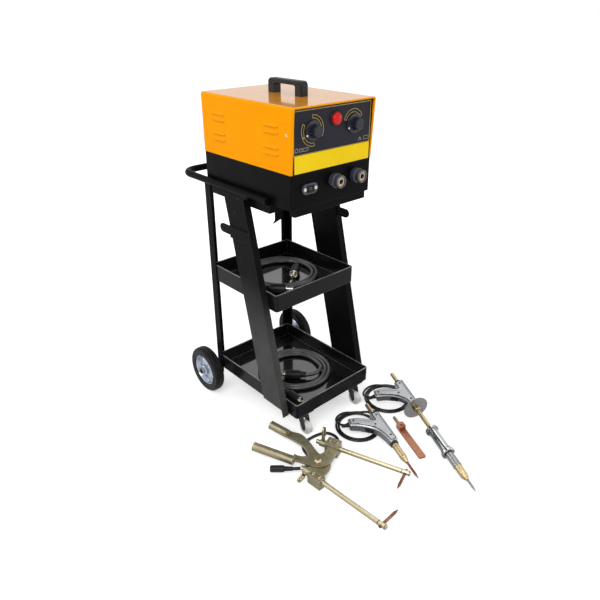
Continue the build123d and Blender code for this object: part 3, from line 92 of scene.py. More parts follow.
class Shader:
    """A node material that is written in a few calls."""

    def __init__(self, name):
        self.material = bpy.data.materials.new(name)
        self.material.use_nodes = True
        self.tree = self.material.node_tree
        self.surface = self.tree.nodes["Principled BSDF"]
        self.place = self.add("ShaderNodeTexCoord").outputs["Object"]

    def add(self, kind, **values):
        node = self.tree.nodes.new(kind)
        for key, value in values.items():
            setattr(node, key, value)
        return node

    def link(self, source, target):
        self.tree.links.new(source, target)

    def noise(self, scale, detail=3.0, rough=0.55):
        node = self.add("ShaderNodeTexNoise")
        node.inputs["Scale"].default_value = scale
        node.inputs["Detail"].default_value = detail
        node.inputs["Roughness"].default_value = rough
        self.link(self.place, node.inputs["Vector"])
        return node.outputs["Fac"]

    def span(self, source, low, high, to_low=0.0, to_high=1.0):
        """The source from low to high, stretched to another range and held at its ends."""
        node = self.add("ShaderNodeMapRange")
        node.inputs["From Min"].default_value = low
        node.inputs["From Max"].default_value = high
        node.inputs["To Min"].default_value = to_low
        node.inputs["To Max"].default_value = to_high
        self.link(source, node.inputs["Value"])
        return node.outputs["Result"]

    def times(self, first, second):
        node = self.add("ShaderNodeMath", operation="MULTIPLY")
        self.link(first, node.inputs[0])
        self.link(second, node.inputs[1])
        return node.outputs[0]

    def mix(self, amount, first, second):
        node = self.add("ShaderNodeMix", data_type="RGBA")
        sockets = [node.inputs[6], node.inputs[7]]
        for socket, value in zip(sockets, (first, second)):
            if isinstance(value, tuple):
                socket.default_value = (*value, 1.0)
            else:
                self.link(value, socket)
        self.link(amount, node.inputs[0])
        return node.outputs[2]

    def upward(self, low, high):
        """From 0 to 1 as faces turn up, between two heights of their normals."""
        facing = self.add("ShaderNodeNewGeometry")
        parts = self.add("ShaderNodeSeparateXYZ")
        self.link(facing.outputs["Normal"], parts.inputs[0])
        return self.span(parts.outputs["Z"], low, high)

    def edges(self, radius):
        """Rounded normal near edges, and a mask of those edges."""
        bevel = self.add("ShaderNodeBevel", samples=4)
        bevel.inputs["Radius"].default_value = radius
        facing = self.add("ShaderNodeNewGeometry")
        dot = self.add("ShaderNodeVectorMath", operation="DOT_PRODUCT")
        self.link(bevel.outputs["Normal"], dot.inputs[0])
        self.link(facing.outputs["Normal"], dot.inputs[1])
        return bevel.outputs["Normal"], self.span(dot.outputs["Value"], *EDGE_TURNS)

    def bump(self, height, strength, distance, normal=None):
        node = self.add("ShaderNodeBump")
        node.inputs["Strength"].default_value = strength
        node.inputs["Distance"].default_value = distance
        self.link(height, node.inputs["Height"])
        if normal is not None:
            self.link(normal, node.inputs["Normal"])
        return node.outputs["Normal"]

    def set(self, **values):
        """Constants on the surface's own sockets, written with _ for a space."""
        for key, value in values.items():
            self.surface.inputs[key.replace("_", " ")].default_value = value


def finish_material(
    name,
    color,
    tint,
    roughness,
    metallic=0.0,
    patch=9.0,
    patch_amount=0.5,
    grain=900.0,
    grain_strength=0.1,
    rough_spread=0.08,
    edge=None,
    edge_radius=0.0011,
    edge_amount=0.6,
    specular=0.5,
    specks=None,
    top=None,
    painted_shade=None,
    painted_sheen=None,
):
    """A finish: two colours in soft patches, uneven gloss, fine grain, lighter edges of wear and painted highlight.

    specks is a colour, a scale and a share; top is a colour of upward faces that is painted light, its amount and
    their coat;
    the painted shade is a darker colour on flanks and undersides, and its amount; the painted sheen is a paler colour
    low down on the left, its amount, and the heights and the widths between which it fades.
    """
    s = Shader(name)
    patches = s.span(s.noise(patch, 5.0, 0.6), 0.35, 0.7, 0.0, patch_amount)
    base = s.mix(patches, color, tint)
    if specks:
        speck_color, speck_scale, speck_share = specks
        spots = s.span(s.noise(speck_scale, 6.0, 0.75), 1.0 - speck_share, 1.06 - speck_share)
        base = s.mix(spots, base, speck_color)
    # Upward faces take another colour as painted light: painted shade on the cover's top, a paler painted sheen on the
    # tray floors; their coat is real gloss.
    if top:
        top_painted_color, top_painted_amount, top_coat = top
        upward = s.upward(0.80, 0.99)
        base = s.mix(s.span(upward, 0.0, 1.0, 0.0, top_painted_amount), base, top_painted_color)
        s.link(s.span(upward, 0.0, 1.0, 0.0, top_coat), s.surface.inputs["Coat Weight"])
        s.set(Coat_Roughness=0.07, Coat_IOR=2.0)
    # A paler colour low down on the left: a painted sheen standing in for the light on the left leg, fading with
    # height and across the middle.
    if painted_sheen:
        painted_sheen_color, painted_sheen_amount, painted_sheen_height, painted_sheen_side = painted_sheen
        parts = s.add("ShaderNodeSeparateXYZ")
        s.link(s.place, parts.inputs[0])
        sheen_fade = s.span(parts.outputs["Z"], *painted_sheen_height, painted_sheen_amount, 0.0)
        sheen_fade = s.times(sheen_fade, s.span(parts.outputs["X"], *painted_sheen_side, 1.0, 0.0))
        uneven = s.span(s.noise(14.0, 6.0, 0.65), 0.3, 0.65, 0.72, 1.0)
        base = s.mix(s.times(sheen_fade, uneven), base, painted_sheen_color)
    # Flanks and undersides darker: painted shade, so that round and upright parts look lit from above.
    if painted_shade:
        painted_shade_color, painted_shade_amount = painted_shade
        base = s.mix(s.span(s.upward(-0.25, 0.75), 0.0, 1.0, painted_shade_amount, 0.0), base, painted_shade_color)
    fine = s.noise(grain, 2.0, 0.5)
    normal = None
    # Edges lighter in patches: partly wear, partly painted highlight.
    if edge is not None:
        normal, mask = s.edges(edge_radius)
        worn = s.span(s.noise(patch * 9.0, 4.0, 0.7), 0.3, 0.75, 0.15, edge_amount)
        base = s.mix(s.times(mask, worn), base, edge)
    s.link(base, s.surface.inputs["Base Color"])
    low_rough, high_rough = roughness - rough_spread, roughness + rough_spread
    rough = s.span(s.noise(patch * 4.0, 4.0, 0.6), 0.3, 0.7, low_rough, high_rough)
    s.link(rough, s.surface.inputs["Roughness"])
    s.link(s.bump(fine, grain_strength, GRAIN_DEPTH, normal), s.surface.inputs["Normal"])
    s.set(Metallic=metallic, Specular_IOR_Level=specular)
    return s.material


# Edge colours: partly wear, partly painted highlight; dark flank colours: painted shade; top colours: painted light.
LOOKS = {
    "black": finish_material(
        "black_coat", (0.0024, 0.0024, 0.0026), (0.0050, 0.0048, 0.0046), 0.36, patch=6.0, grain=1400.0,
        grain_strength=0.12, edge=(0.080, 0.080, 0.084), edge_radius=0.0016, edge_amount=0.7, rough_spread=0.10,
        specular=0.03,
    ),
    # Legs: the paler colour low down on the left is a painted sheen.
    "leg": finish_material(
        "leg_coat", (0.0026, 0.0026, 0.0027), (0.0060, 0.0052, 0.0045), 0.40, patch=5.0, grain=1400.0,
        grain_strength=0.14, edge=(0.090, 0.090, 0.093), edge_radius=0.0016, edge_amount=0.7, rough_spread=0.09,
        specular=0.03, specks=((0.075, 0.034, 0.013), 30.0, 0.335),
        painted_sheen=((0.080, 0.078, 0.077), 0.85, (0.26, 0.46), (-0.05, 0.05)),
    ),
    "tray": finish_material(
        "tray_coat", (0.0040, 0.0040, 0.0044), (0.0080, 0.0080, 0.0088), 0.30, patch=5.0, grain=1100.0,
        grain_strength=0.07, edge=(0.34, 0.34, 0.35), edge_radius=0.0018, edge_amount=1.0, rough_spread=0.09,
        specular=0.09, top=((0.008, 0.008, 0.009), 0.4, 0.9),
    ),
    # Cover: the top colour, darker than the sides, is painted shade under a real coat.
    "yellow": finish_material(
        "yellow_gloss", (0.88, 0.300, 0.0008), (0.93, 0.355, 0.0015), 0.24, patch=4.0, patch_amount=0.6,
        grain=700.0, grain_strength=0.04, edge=(1.0, 0.52, 0.02), edge_radius=0.0026, edge_amount=0.9,
        rough_spread=0.05, specular=0.02, top=((0.56, 0.225, 0.008), 0.85, 0.72),
    ),
    "panel": finish_material(
        "panel_print", (0.0080, 0.0082, 0.0150), (0.0125, 0.0130, 0.0210), 0.40, patch=16.0, grain=2200.0,
        grain_strength=0.1, rough_spread=0.06, specular=0.12,
    ),
    "band": finish_material(
        "band_print", (0.90, 0.62, 0.008), (0.94, 0.68, 0.020), 0.40, patch=20.0, grain=2200.0,
        grain_strength=0.08, rough_spread=0.06, specular=0.06,
    ),
    "gold_print": finish_material(
        "gold_print", (0.42, 0.31, 0.075), (0.52, 0.40, 0.12), 0.45, patch=60.0, grain=2600.0, grain_strength=0.06,
        specular=0.2,
    ),
    # Pale strips on the tray rims: painted highlights.
    "tray_lip": finish_material(
        "tray_rim_painted_highlight", (0.045, 0.045, 0.046), (0.38, 0.38, 0.39), 0.28, patch=16.0, patch_amount=0.9, grain=1100.0,
        grain_strength=0.07, rough_spread=0.08, specular=0.4,
    ),
    "tyre": finish_material(
        "tyre_rubber", (0.0042, 0.0043, 0.0048), (0.0115, 0.0117, 0.0124), 0.42, patch=22.0, grain=1500.0,
        grain_strength=0.25, rough_spread=0.1, edge=(0.13, 0.13, 0.135), edge_radius=0.0014, edge_amount=0.7,
        specular=0.10,
    ),
    "rim": finish_material(
        "rim_paint", (0.36, 0.40, 0.48), (0.52, 0.57, 0.65), 0.24, metallic=0.75, patch=30.0, grain=900.0,
        grain_strength=0.1, edge=(0.66, 0.70, 0.76), edge_radius=0.0008, edge_amount=0.8, specular=0.3,
    ),
    "zinc": finish_material(
        "zinc_plate", (0.20, 0.20, 0.205), (0.32, 0.315, 0.31), 0.34, metallic=0.9, patch=60.0, grain=1500.0,
        grain_strength=0.12, edge=(0.62, 0.62, 0.61), edge_radius=0.0005, edge_amount=0.7,
    ),
    "white_nylon": finish_material(
        "white_nylon", (0.72, 0.72, 0.71), (0.60, 0.59, 0.57), 0.32, patch=40.0, grain=900.0, grain_strength=0.05,
        edge=(0.80, 0.80, 0.79), edge_radius=0.0007, specular=0.3,
    ),
    "plastic": finish_material(
        "black_plastic", (0.0065, 0.0065, 0.0072), (0.0140, 0.0140, 0.0155), 0.36, patch=50.0, grain=2600.0,
        grain_strength=0.16, edge=(0.060, 0.060, 0.064), edge_radius=0.0007, edge_amount=0.6, specular=0.18,
    ),
    "knob": finish_material(
        "knob_plastic", (0.0085, 0.0100, 0.0180), (0.0170, 0.0190, 0.0300), 0.32, patch=50.0, grain=2600.0,
        grain_strength=0.14, edge=(0.075, 0.080, 0.105), edge_radius=0.0008, edge_amount=0.7, specular=0.25,
    ),
    "grey_print": finish_material(
        "grey_print", (0.26, 0.25, 0.19), (0.34, 0.33, 0.26), 0.45, patch=60.0, grain=2600.0, grain_strength=0.06,
        specular=0.15,
    ),
    "blue_plastic": finish_material(
        "socket_plastic", (0.026, 0.029, 0.044), (0.058, 0.063, 0.086), 0.28, patch=50.0, grain=2600.0,
        grain_strength=0.15, edge=(0.17, 0.175, 0.20), edge_radius=0.0009, edge_amount=0.6, specular=0.35,
    ),
    "cable": finish_material(
        "cable_rubber", (0.0420, 0.0425, 0.0475), (0.0800, 0.0810, 0.0890), 0.33, patch=45.0, grain=1500.0,
        grain_strength=0.08, rough_spread=0.06, specular=0.85, painted_shade=((0.0022, 0.0022, 0.0025), 0.98),
    ),
    "thin_cable": finish_material(
        "thin_cable_rubber", (0.0055, 0.0055, 0.0062), (0.0110, 0.0112, 0.0128), 0.28, patch=45.0, grain=1500.0,
        grain_strength=0.08, rough_spread=0.06, specular=0.3, painted_shade=((0.0022, 0.0022, 0.0025), 0.9),
    ),
    "plug": finish_material(
        "plug_rubber", (0.0075, 0.0078, 0.0090), (0.0170, 0.0175, 0.0195), 0.42, patch=60.0, grain=1800.0,
        grain_strength=0.2, edge=(0.045, 0.045, 0.050), edge_radius=0.0006, edge_amount=0.5, specular=0.22,
    ),
    "brass": finish_material(
        "turned_brass", (0.56, 0.44, 0.235), (0.66, 0.54, 0.32), 0.31, metallic=1.0, patch=80.0, grain=1400.0,
        grain_strength=0.03, painted_shade=((0.095, 0.060, 0.024), 0.9),
    ),
    "silver": finish_material(
        "plated_contact", (0.52, 0.48, 0.40), (0.64, 0.58, 0.46), 0.24, metallic=1.0, patch=80.0, grain=1400.0,
        grain_strength=0.05, edge=(0.86, 0.83, 0.74), edge_radius=0.0005,
    ),
    "copper": finish_material(
        "bare_copper", (0.44, 0.18, 0.098), (0.60, 0.29, 0.17), 0.32, metallic=0.9, patch=55.0, patch_amount=0.8,
        grain=900.0, grain_strength=0.08, edge=(0.80, 0.42, 0.25), edge_radius=0.0007, edge_amount=0.8,
        specks=((0.19, 0.070, 0.040), 160.0, 0.36), painted_shade=((0.12, 0.042, 0.024), 0.8),
    ),
    "burnt_copper": finish_material(
        "burnt_copper", (0.17, 0.062, 0.034), (0.36, 0.15, 0.085), 0.36, metallic=0.85, patch=70.0, patch_amount=0.9,
        grain=900.0, grain_strength=0.1, edge=(0.62, 0.34, 0.22), edge_radius=0.0006, edge_amount=0.6,
        specks=((0.030, 0.016, 0.012), 130.0, 0.46), painted_shade=((0.045, 0.018, 0.012), 0.85),
    ),
    "gold_zinc": finish_material(
        "passivated_zinc", (0.34, 0.295, 0.180), (0.52, 0.465, 0.315), 0.34, metallic=0.75, patch=26.0,
        patch_amount=0.9, grain=800.0, grain_strength=0.08, edge=(0.62, 0.56, 0.36), edge_radius=0.0013,
        edge_amount=0.85, specks=((0.135, 0.112, 0.062), 110.0, 0.32), specular=0.3,
        painted_shade=((0.050, 0.040, 0.020), 0.75),
    ),
    "gold_bar": finish_material(
        "passivated_bar", (0.58, 0.50, 0.32), (0.68, 0.61, 0.42), 0.27, metallic=0.95, patch=40.0, grain=900.0,
        grain_strength=0.02, painted_shade=((0.080, 0.056, 0.026), 0.95),
    ),
    "gun": finish_material(
        "gun_plastic", (0.42, 0.435, 0.455), (0.55, 0.56, 0.575), 0.28, metallic=0.35, patch=35.0, grain=1600.0,
        grain_strength=0.10, edge=(0.62, 0.65, 0.69), edge_radius=0.0016, edge_amount=1.0, rough_spread=0.07,
        specular=0.5, painted_shade=((0.042, 0.046, 0.055), 0.95),
    ),
    "chrome": finish_material(
        "bright_plate", (0.48, 0.50, 0.51), (0.62, 0.635, 0.645), 0.16, metallic=1.0, patch=60.0, grain=1200.0,
        grain_strength=0.03, painted_shade=((0.040, 0.044, 0.048), 0.96),
    ),
    "disc": finish_material(
        "turned_disc", (0.30, 0.29, 0.295), (0.40, 0.39, 0.395), 0.28, metallic=0.95, patch=40.0, grain=1200.0,
        grain_strength=0.05, edge=(0.66, 0.65, 0.65), edge_radius=0.0008, edge_amount=0.5,
        painted_shade=((0.060, 0.058, 0.060), 0.6),
    ),
    "steel": finish_material(
        "dull_steel", (0.22, 0.22, 0.225), (0.32, 0.315, 0.31), 0.40, metallic=0.9, patch=60.0, grain=900.0,
        grain_strength=0.12, edge=(0.58, 0.58, 0.58), edge_radius=0.0006,
    ),
    "socket_steel": finish_material(
        "socket_steel", (0.085, 0.083, 0.086), (0.155, 0.150, 0.152), 0.42, metallic=0.8, patch=70.0, grain=1200.0,
        grain_strength=0.1, edge=(0.42, 0.41, 0.40), edge_radius=0.0006,
    ),
    "socket_contact": finish_material(
        "worn_contact", (0.24, 0.185, 0.125), (0.46, 0.385, 0.29), 0.34, metallic=0.9, patch=90.0, patch_amount=0.9,
        grain=1200.0, grain_strength=0.08, edge=(0.80, 0.74, 0.64), edge_radius=0.0006,
    ),
    "dark_steel": finish_material(
        "dark_steel", (0.030, 0.029, 0.028), (0.055, 0.052, 0.048), 0.42, metallic=0.7, patch=70.0, grain=1200.0,
        grain_strength=0.12, edge=(0.20, 0.20, 0.20), edge_radius=0.0005, specular=0.25,
    ),
    "white_mark": finish_material(
        "white_mark", (0.74, 0.74, 0.72), (0.66, 0.66, 0.65), 0.45, patch=90.0, grain=2600.0, grain_strength=0.05,
        specular=0.2,
    ),
    "board": finish_material(
        "circuit_board", (0.02, 0.13, 0.05), (0.04, 0.20, 0.08), 0.45, patch=90.0, grain=2600.0, grain_strength=0.1,
    ),
}


def lens_material():
    """Red moulding with brighter patches under a thin gloss."""
    s = Shader("red_lens")
    glow = s.span(s.noise(120.0, 3.0, 0.5), 0.3, 0.7)
    s.link(s.mix(glow, (0.50, 0.003, 0.006), (0.68, 0.008, 0.010)), s.surface.inputs["Base Color"])
    s.link(s.span(s.noise(300.0), 0.3, 0.7, 0.22, 0.34), s.surface.inputs["Roughness"])
    s.link(s.bump(s.noise(700.0), 0.02, GRAIN_DEPTH), s.surface.inputs["Normal"])
    s.set(Coat_Weight=0.15, Coat_Roughness=0.15, Specular_IOR_Level=0.15)
    return s.material


LOOKS["lens"] = lens_material()

NODE_LOOKS = {
    "black": ["platform", "push_handle", "rear_posts", "tub", "rear_panel"],
    "leg": ["slanted_legs"],
    "tray": ["middle_tray", "bottom_tray"],
    "yellow": ["cover"],
    "panel": ["front_panel"],
    "zinc": ["axle"],
    "dark_steel": ["castor_plates", "left_castor_fork", "right_castor_fork"],
    "tyre": ["left_tyre", "right_tyre"],
    "rim": ["left_rim", "right_rim"],
    "white_nylon": ["left_castor_wheel", "right_castor_wheel"],
    "plastic": ["top_handle", "panel_controls", "mains_gland", "gun_a_trigger", "gun_b_trigger"],
    "knob": ["left_knob", "right_knob"],
    "blue_plastic": ["front_sockets"],
    "lens": ["lamp_lens"],
    "silver": ["plug_pins"],
    "socket_contact": ["socket_contacts"],
    "brass": ["gun_a_rod", "hammer_rod", "ground_pin"],
    "steel": ["transformer_core", "hammer_tip"],
    "copper": ["transformer_windings", "ground_bar"],
    "burnt_copper": ["tong_base_tip", "tong_swing_tip", "gun_a_tip"],
    "board": ["control_board"],
    "plug": ["plug_bodies", "gun_a_plug", "gun_b_plug", "tong_connector"],
    "gold_zinc": ["tong_base_jaw", "tong_swing_jaw"],
    "gold_bar": ["tong_base_arm", "tong_swing_arm", "tong_pivot"],
    "gun": ["gun_a_body", "gun_b_body"],
    "chrome": ["hammer_weight"],
}
for look, names in NODE_LOOKS.items():
    for name in names:
        mesh = nodes[name].data
        mesh.materials.clear()
        mesh.materials.append(LOOKS[look])

# Cords: each is one smooth spline with the route's points as its control points, in millimetres

COIL_STEP = 15  # degrees from point to point of a coil
THICK_CABLE = 10.0  # the tray cables are thicker than this, the tools' cables thinner
MIDDLE_TRAY_Z, BOTTOM_TRAY_Z, FLOOR_Z = 397.55, 84.55, 3.8  # heights of the coils' turns
TRAY_COIL, TRAY_PITCH = 84.5, 13.1  # inner radius, and step from turn to turn
GUN_A_COIL, GUN_B_COIL, GUN_PITCH = 54.9, 59.9, 7.6


def spiral_points(center, z, radius, pitch, start, degrees, way):
    """Control points of a flat opening spiral, evenly spaced by angle."""
    points = []
    for turned in range(0, degrees + 1, COIL_STEP):
        angle = radians(start + way * turned)
        reach = radius + pitch * turned / 360.0
        points.append((center[0] + reach * cos(angle), center[1] + reach * sin(angle), z))
    return points


def cord(name, points, diameter, body, node):
    """A cord along its route, in place of its CAD solid."""
    curve = bpy.data.curves.new(name, "CURVE")
    curve.dimensions = "3D"
    curve.bevel_depth = diameter * MM / 2
    curve.bevel_resolution = 5
    curve.resolution_u = 6
    curve.use_fill_caps = True
    spline = curve.splines.new("NURBS")
    spline.points.add(len(points) - 1)
    for point, place in zip(spline.points, points):
        point.co = (*(Vector(place) * MM), 1.0)
    spline.order_u = 3
    spline.use_endpoint_u = True
    curve.materials.append(LOOKS["cable" if diameter > THICK_CABLE else "thin_cable"])
    piece = bpy.data.objects.new(name, curve)
    bpy.context.scene.collection.objects.link(piece)
    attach(piece, body)
    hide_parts(node)


middle_route = [
    (78.6, 232, 405.3), (86.8, 238.9, 405.3), (94.1, 259, 403.5), (90.4, 280.1, 400),
    *spiral_points((20, 235), MIDDLE_TRAY_Z, TRAY_COIL, TRAY_PITCH, 55, 9 * 90, 1),
    (-94.9, 270.8, 397.55), (-118.2, 234.2, 399.5), (-121.3, 211.1, 402.5), (-113.8, 188.9, 405.3), (-100, 175, 405.3),
]
bottom_route = [
    (6, 108, 92.3), (13.3, 100.9, 92.3), (32.6, 94.3, 92.3), (52.9, 96.4, 92.3), (70.4, 106.9, 91), (81.8, 123.8, 88),
    (91.5, 158.5, 85),
    *spiral_points((10, 162), BOTTOM_TRAY_Z, TRAY_COIL, TRAY_PITCH, 15, 10 * 90, 1),
    (-101.1, 123.2, 84.55), (-96.3, 108.2, 92.3), (-96.6, 99.5, 92.3), (-97, 87, 92.3),
]
gun_a_route = [
    (-9.5, -94.6, 24.4), (-16.2, -91.3, 24), (-24.6, -78.8, 23.2), (-25.5, -63.9, 21.5), (-18.9, -50.4, 19.5),
    (-6.4, -42, 18.5), (8, -37.2, 17), (28, -36.5, 15), (48, -48, 12.5), (65.6, -67.9, 10), (77.5, -85, 8),
    (80.5, -108, 5.5), (73, -130, 3.9),
    *spiral_points((25, -102), FLOOR_Z, GUN_A_COIL, GUN_PITCH, -50, 7 * 90, -1),
    (80.8, -62.2, 4.4), (87.5, -69.9, 6.4), (91, -74, 7.2), (95.6, -79.3, 7.3),
]
gun_b_route = [
    (151.8, -55.8, 25.9), (145.3, -51.9, 23.5), (138, -38.8, 19.5), (138.2, -23.8, 15.5), (145.9, -10.9, 13),
    (159, -3.6, 13.5), (174, 0, 14.5), (195, -0.5, 15), (218, -10, 13), (239.4, -34.7, 10), (251.5, -52.5, 8),
    (255.5, -77, 5.5), (248, -101, 3.9),
    *spiral_points((195, -72), FLOOR_Z, GUN_B_COIL, GUN_PITCH, -50, 8 * 90, -1),
    (239.2, -133.1, 4.4), (231.5, -139.8, 6.4), (227.4, -143.3, 7.2), (222.1, -147.9, 7.3),
]
tong_route = [
    (-240, -106, 9.8), (-212.9, -130.4, 9.8), (-175.3, -116.7, 4.8), (-164.5, -55.6, 4.8), (-126.9, -42, 4.8),
    (-67.2, -52.3, 4.8), (-54.9, -86.1, 4.8), (-67.6, -113.3, 4.8), (-92, -122.2, 4.8),
]

# name, route, diameter, length, body, far end, stiffness, lay, and the pieces on it
CORDS = [
    ("middle_coil", middle_route, 12.5, 1.641, "trolley", "plug", "stiff", "coiled", ["plug_bodies", "plug_pins"]),
    ("bottom_coil", bottom_route, 12.5, 1.787, "trolley", "plug", "stiff", "coiled", ["plug_bodies", "plug_pins"]),
    ("gun_a_cable", gun_a_route, 7.0, 0.939, "gun_a", "plug", "medium", "coiled", ["gun_a_plug"]),
    ("gun_b_cable", gun_b_route, 7.0, 1.127, "gun_b", "plug", "medium", "coiled", ["gun_b_plug"]),
    ("tong_cable", tong_route, 9.0, 0.315, "tongs", "connector", "limp", "loose", ["tong_connector"]),
]
for name, route, diameter, length, body, far_end, stiffness, lay, on_it in CORDS:
    cord(
        name + "_look", route, diameter, body, name,
    )

# Detail pieces, built in millimetres and placed by a matrix whose x axis points out of the surface

SHARP_ANGLE = radians(38.0)  # edges that turn more stay sharp
CORNER_STEPS = 5  # faces round a rounded corner


def at(origin, along, up=(0, 0, 1)):
    """Placing matrix: x along the given way, z as near to up as it can be."""
    x = Vector(along).normalized()
    y = Vector(up).cross(x).normalized()
    z = x.cross(y)
    turn = Matrix(((x.x, y.x, z.x), (x.y, y.y, z.y), (x.z, y.z, z.z))).to_4x4()
    return Matrix.Scale(MM, 4) @ Matrix.Translation(origin) @ turn


def circle(bm, place, along, radius, steps):
    """Corners of one circle about the x axis, or its middle where the radius is 0."""
    turns = [2 * pi * i / steps for i in range(steps)] if radius > 0 else [0.0]
    return [bm.verts.new(place @ Vector((along, radius * cos(t), radius * sin(t)))) for t in turns]


def lathe(bm, place, profile, steps):
    """Turned shape from (along, radius) pairs about the x axis; a first or last radius of 0 closes it."""
    rings = [circle(bm, place, along, radius, steps) for along, radius in profile]
    for first, second in zip(rings, rings[1:]):
        for i in range(steps):
            j = (i + 1) % steps
            corners = [first[i % len(first)], first[j % len(first)], second[j % len(second)], second[i % len(second)]]
            loop = [v for k, v in enumerate(corners) if v not in corners[:k]]
            bm.faces.new(loop)


def ring(bm, place, profile, steps):
    """Closed turned ring: the profile goes round and joins its own start."""
    rings = [circle(bm, place, along, radius, steps) for along, radius in profile]
    for k, first in enumerate(rings):
        second = rings[(k + 1) % len(rings)]
        for i in range(steps):
            j = (i + 1) % steps
            bm.faces.new((first[i], first[j], second[j], second[i]))


def strip(bm, place, first, second, low, high, closed=False):
    """Flat raised strip between two lines of (y, z) points, from x = low to x = high."""
    rows = []
    for x in (low, high):
        for line in (first, second):
            rows.append([bm.verts.new(place @ Vector((x, *point))) for point in line])
    count = len(first)
    for i in range(count if closed else count - 1):
        j = (i + 1) % count
        for one, two in ((0, 1), (1, 3), (3, 2), (2, 0)):
            bm.faces.new((rows[one][i], rows[one][j], rows[two][j], rows[two][i]))
    if not closed:
        for i in (0, count - 1):
            bm.faces.new((rows[0][i], rows[1][i], rows[3][i], rows[2][i]))


def prism(bm, place, outline, low, high):
    """Straight prism of a (y, z) outline, from x = low to x = high."""
    ends = [[bm.verts.new(place @ Vector((x, *point))) for point in outline] for x in (low, high)]
    bm.faces.new(ends[0])
    bm.faces.new(ends[1])
    for i in range(len(outline)):
        j = (i + 1) % len(outline)
        bm.faces.new((ends[0][i], ends[0][j], ends[1][j], ends[1][i]))


def arc(center, radius, start, end, count=24):
    """Points on a circle, in degrees."""
    turns = [radians(start + (end - start) * i / count) for i in range(count + 1)]
    return [(center[0] + radius * cos(t), center[1] + radius * sin(t)) for t in turns]


def box_line(low, high):
    """Corners of an upright rectangle."""
    return [(low[0], low[1]), (high[0], low[1]), (high[0], high[1]), (low[0], high[1])]


def rounded_box(width, height, round_by):
    """Rounded rectangle round the origin, in (y, z)."""
    line = []
    for side_y, side_z, start in ((1, 1, 0), (-1, 1, 90), (-1, -1, 180), (1, -1, 270)):
        middle = (side_y * (width / 2 - round_by), side_z * (height / 2 - round_by))
        line += arc(middle, round_by, start, start + 90, CORNER_STEPS)
    return line


def hexagon(radius):
    """Corners of a hexagon round the origin."""
    return [(radius * cos(pi * i / 3), radius * sin(pi * i / 3)) for i in range(6)]


def screw(bm, place, radius, rise):
    """Domed head with a sunk round drive."""
    lathe(bm, place, [
        (0, radius), (rise * 0.55, radius), (rise * 0.9, radius * 0.8), (rise, radius * 0.45),
        (rise * 0.35, radius * 0.4), (rise * 0.35, 0),
    ], 18)


def hex_bolt(bm, place, radius, rise):
    """Hexagon head on a washer."""
    lathe(bm, place, [(0, radius * 1.35), (rise * 0.2, radius * 1.35), (rise * 0.22, 0)], 24)
    prism(bm, place, hexagon(radius), rise * 0.2, rise * 0.92)
    lathe(bm, place, [(rise * 0.9, radius * 0.85), (rise, radius * 0.6), (rise, 0)], 18)


def add_piece(name, look, body, shapes, replaces=(), bevel=0.0):
    """One object from several shapes, riding on its body."""
    mesh = bpy.data.meshes.new(name)
    bm = bmesh.new()
    for shape, *values in shapes:
        shape(bm, *values)
    bmesh.ops.recalc_face_normals(bm, faces=bm.faces)
    bm.to_mesh(mesh)
    bm.free()
    mesh.shade_smooth()
    mesh.set_sharp_from_angle(angle=SHARP_ANGLE)
    mesh.materials.append(LOOKS[look])
    piece = bpy.data.objects.new(name, mesh)
    bpy.context.scene.collection.objects.link(piece)
    if bevel:
        rounding = piece.modifiers.new("rounding", "BEVEL")
        rounding.width = bevel * MM
        rounding.segments = 2
        rounding.limit_method = "ANGLE"
    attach(piece, body)
    if replaces:
        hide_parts(*replaces)


def mirrored_line(points):
    """Points with their mirror images added in turn, for a shape that is even about the middle plane."""
    return points + [(-x, z) for x, z in reversed(points)]


# Panel print and knobs

FRONT = (0, -1, 0)
PANEL_Y = 9
panel_face = at((0, PANEL_Y, 0), FRONT)
PRINT_LOW, PRINT_HIGH = -0.2, 0.35
CROSSING_HIGH = PRINT_HIGH + 0.02  # print that crosses other print
SCALE_LINE, SYMBOL_LINE = 1.2, 1.3  # widths of printed lines
BAND_LOW, BAND_HIGH = (-127.5, 770.5), (129.5, 814)
KNOB_X, KNOB_Z = 70, 865
LEFT_SCALE, RIGHT_SCALE = (-KNOB_X, KNOB_Z), (68, 865.5)


def print_line(center, radius, start, end, width):
    """Printed arc of even width."""
    inner = arc(center, radius - width / 2, start, end)
    outer = arc(center, radius + width / 2, start, end)
    return (strip, panel_face, inner, outer, PRINT_LOW, PRINT_HIGH)


def print_frame(low, high, width):
    """Printed outline of a rectangle."""
    inner = box_line((low[0] + width, low[1] + width), (high[0] - width, high[1] - width))
    return (strip, panel_face, box_line(low, high), inner, PRINT_LOW, PRINT_HIGH, True)


def degrees_of(length, radius):
    """The angle that a length covers on a circle."""
    return length / radius * 180 / pi


def scale_sector(center, inner, outer, start, end):
    """Double arc closed by a short line at each end."""
    shapes = [print_line(center, radius, start, end, SCALE_LINE) for radius in (inner, outer)]
    half = degrees_of(SCALE_LINE / 2, (inner + outer) / 2)
    for turn in (start, end):
        sides = [arc(center, radius, turn - half, turn + half, 1) for radius in (inner, outer)]
        shapes.append((strip, panel_face, *sides, PRINT_LOW, CROSSING_HIGH))
    return shapes


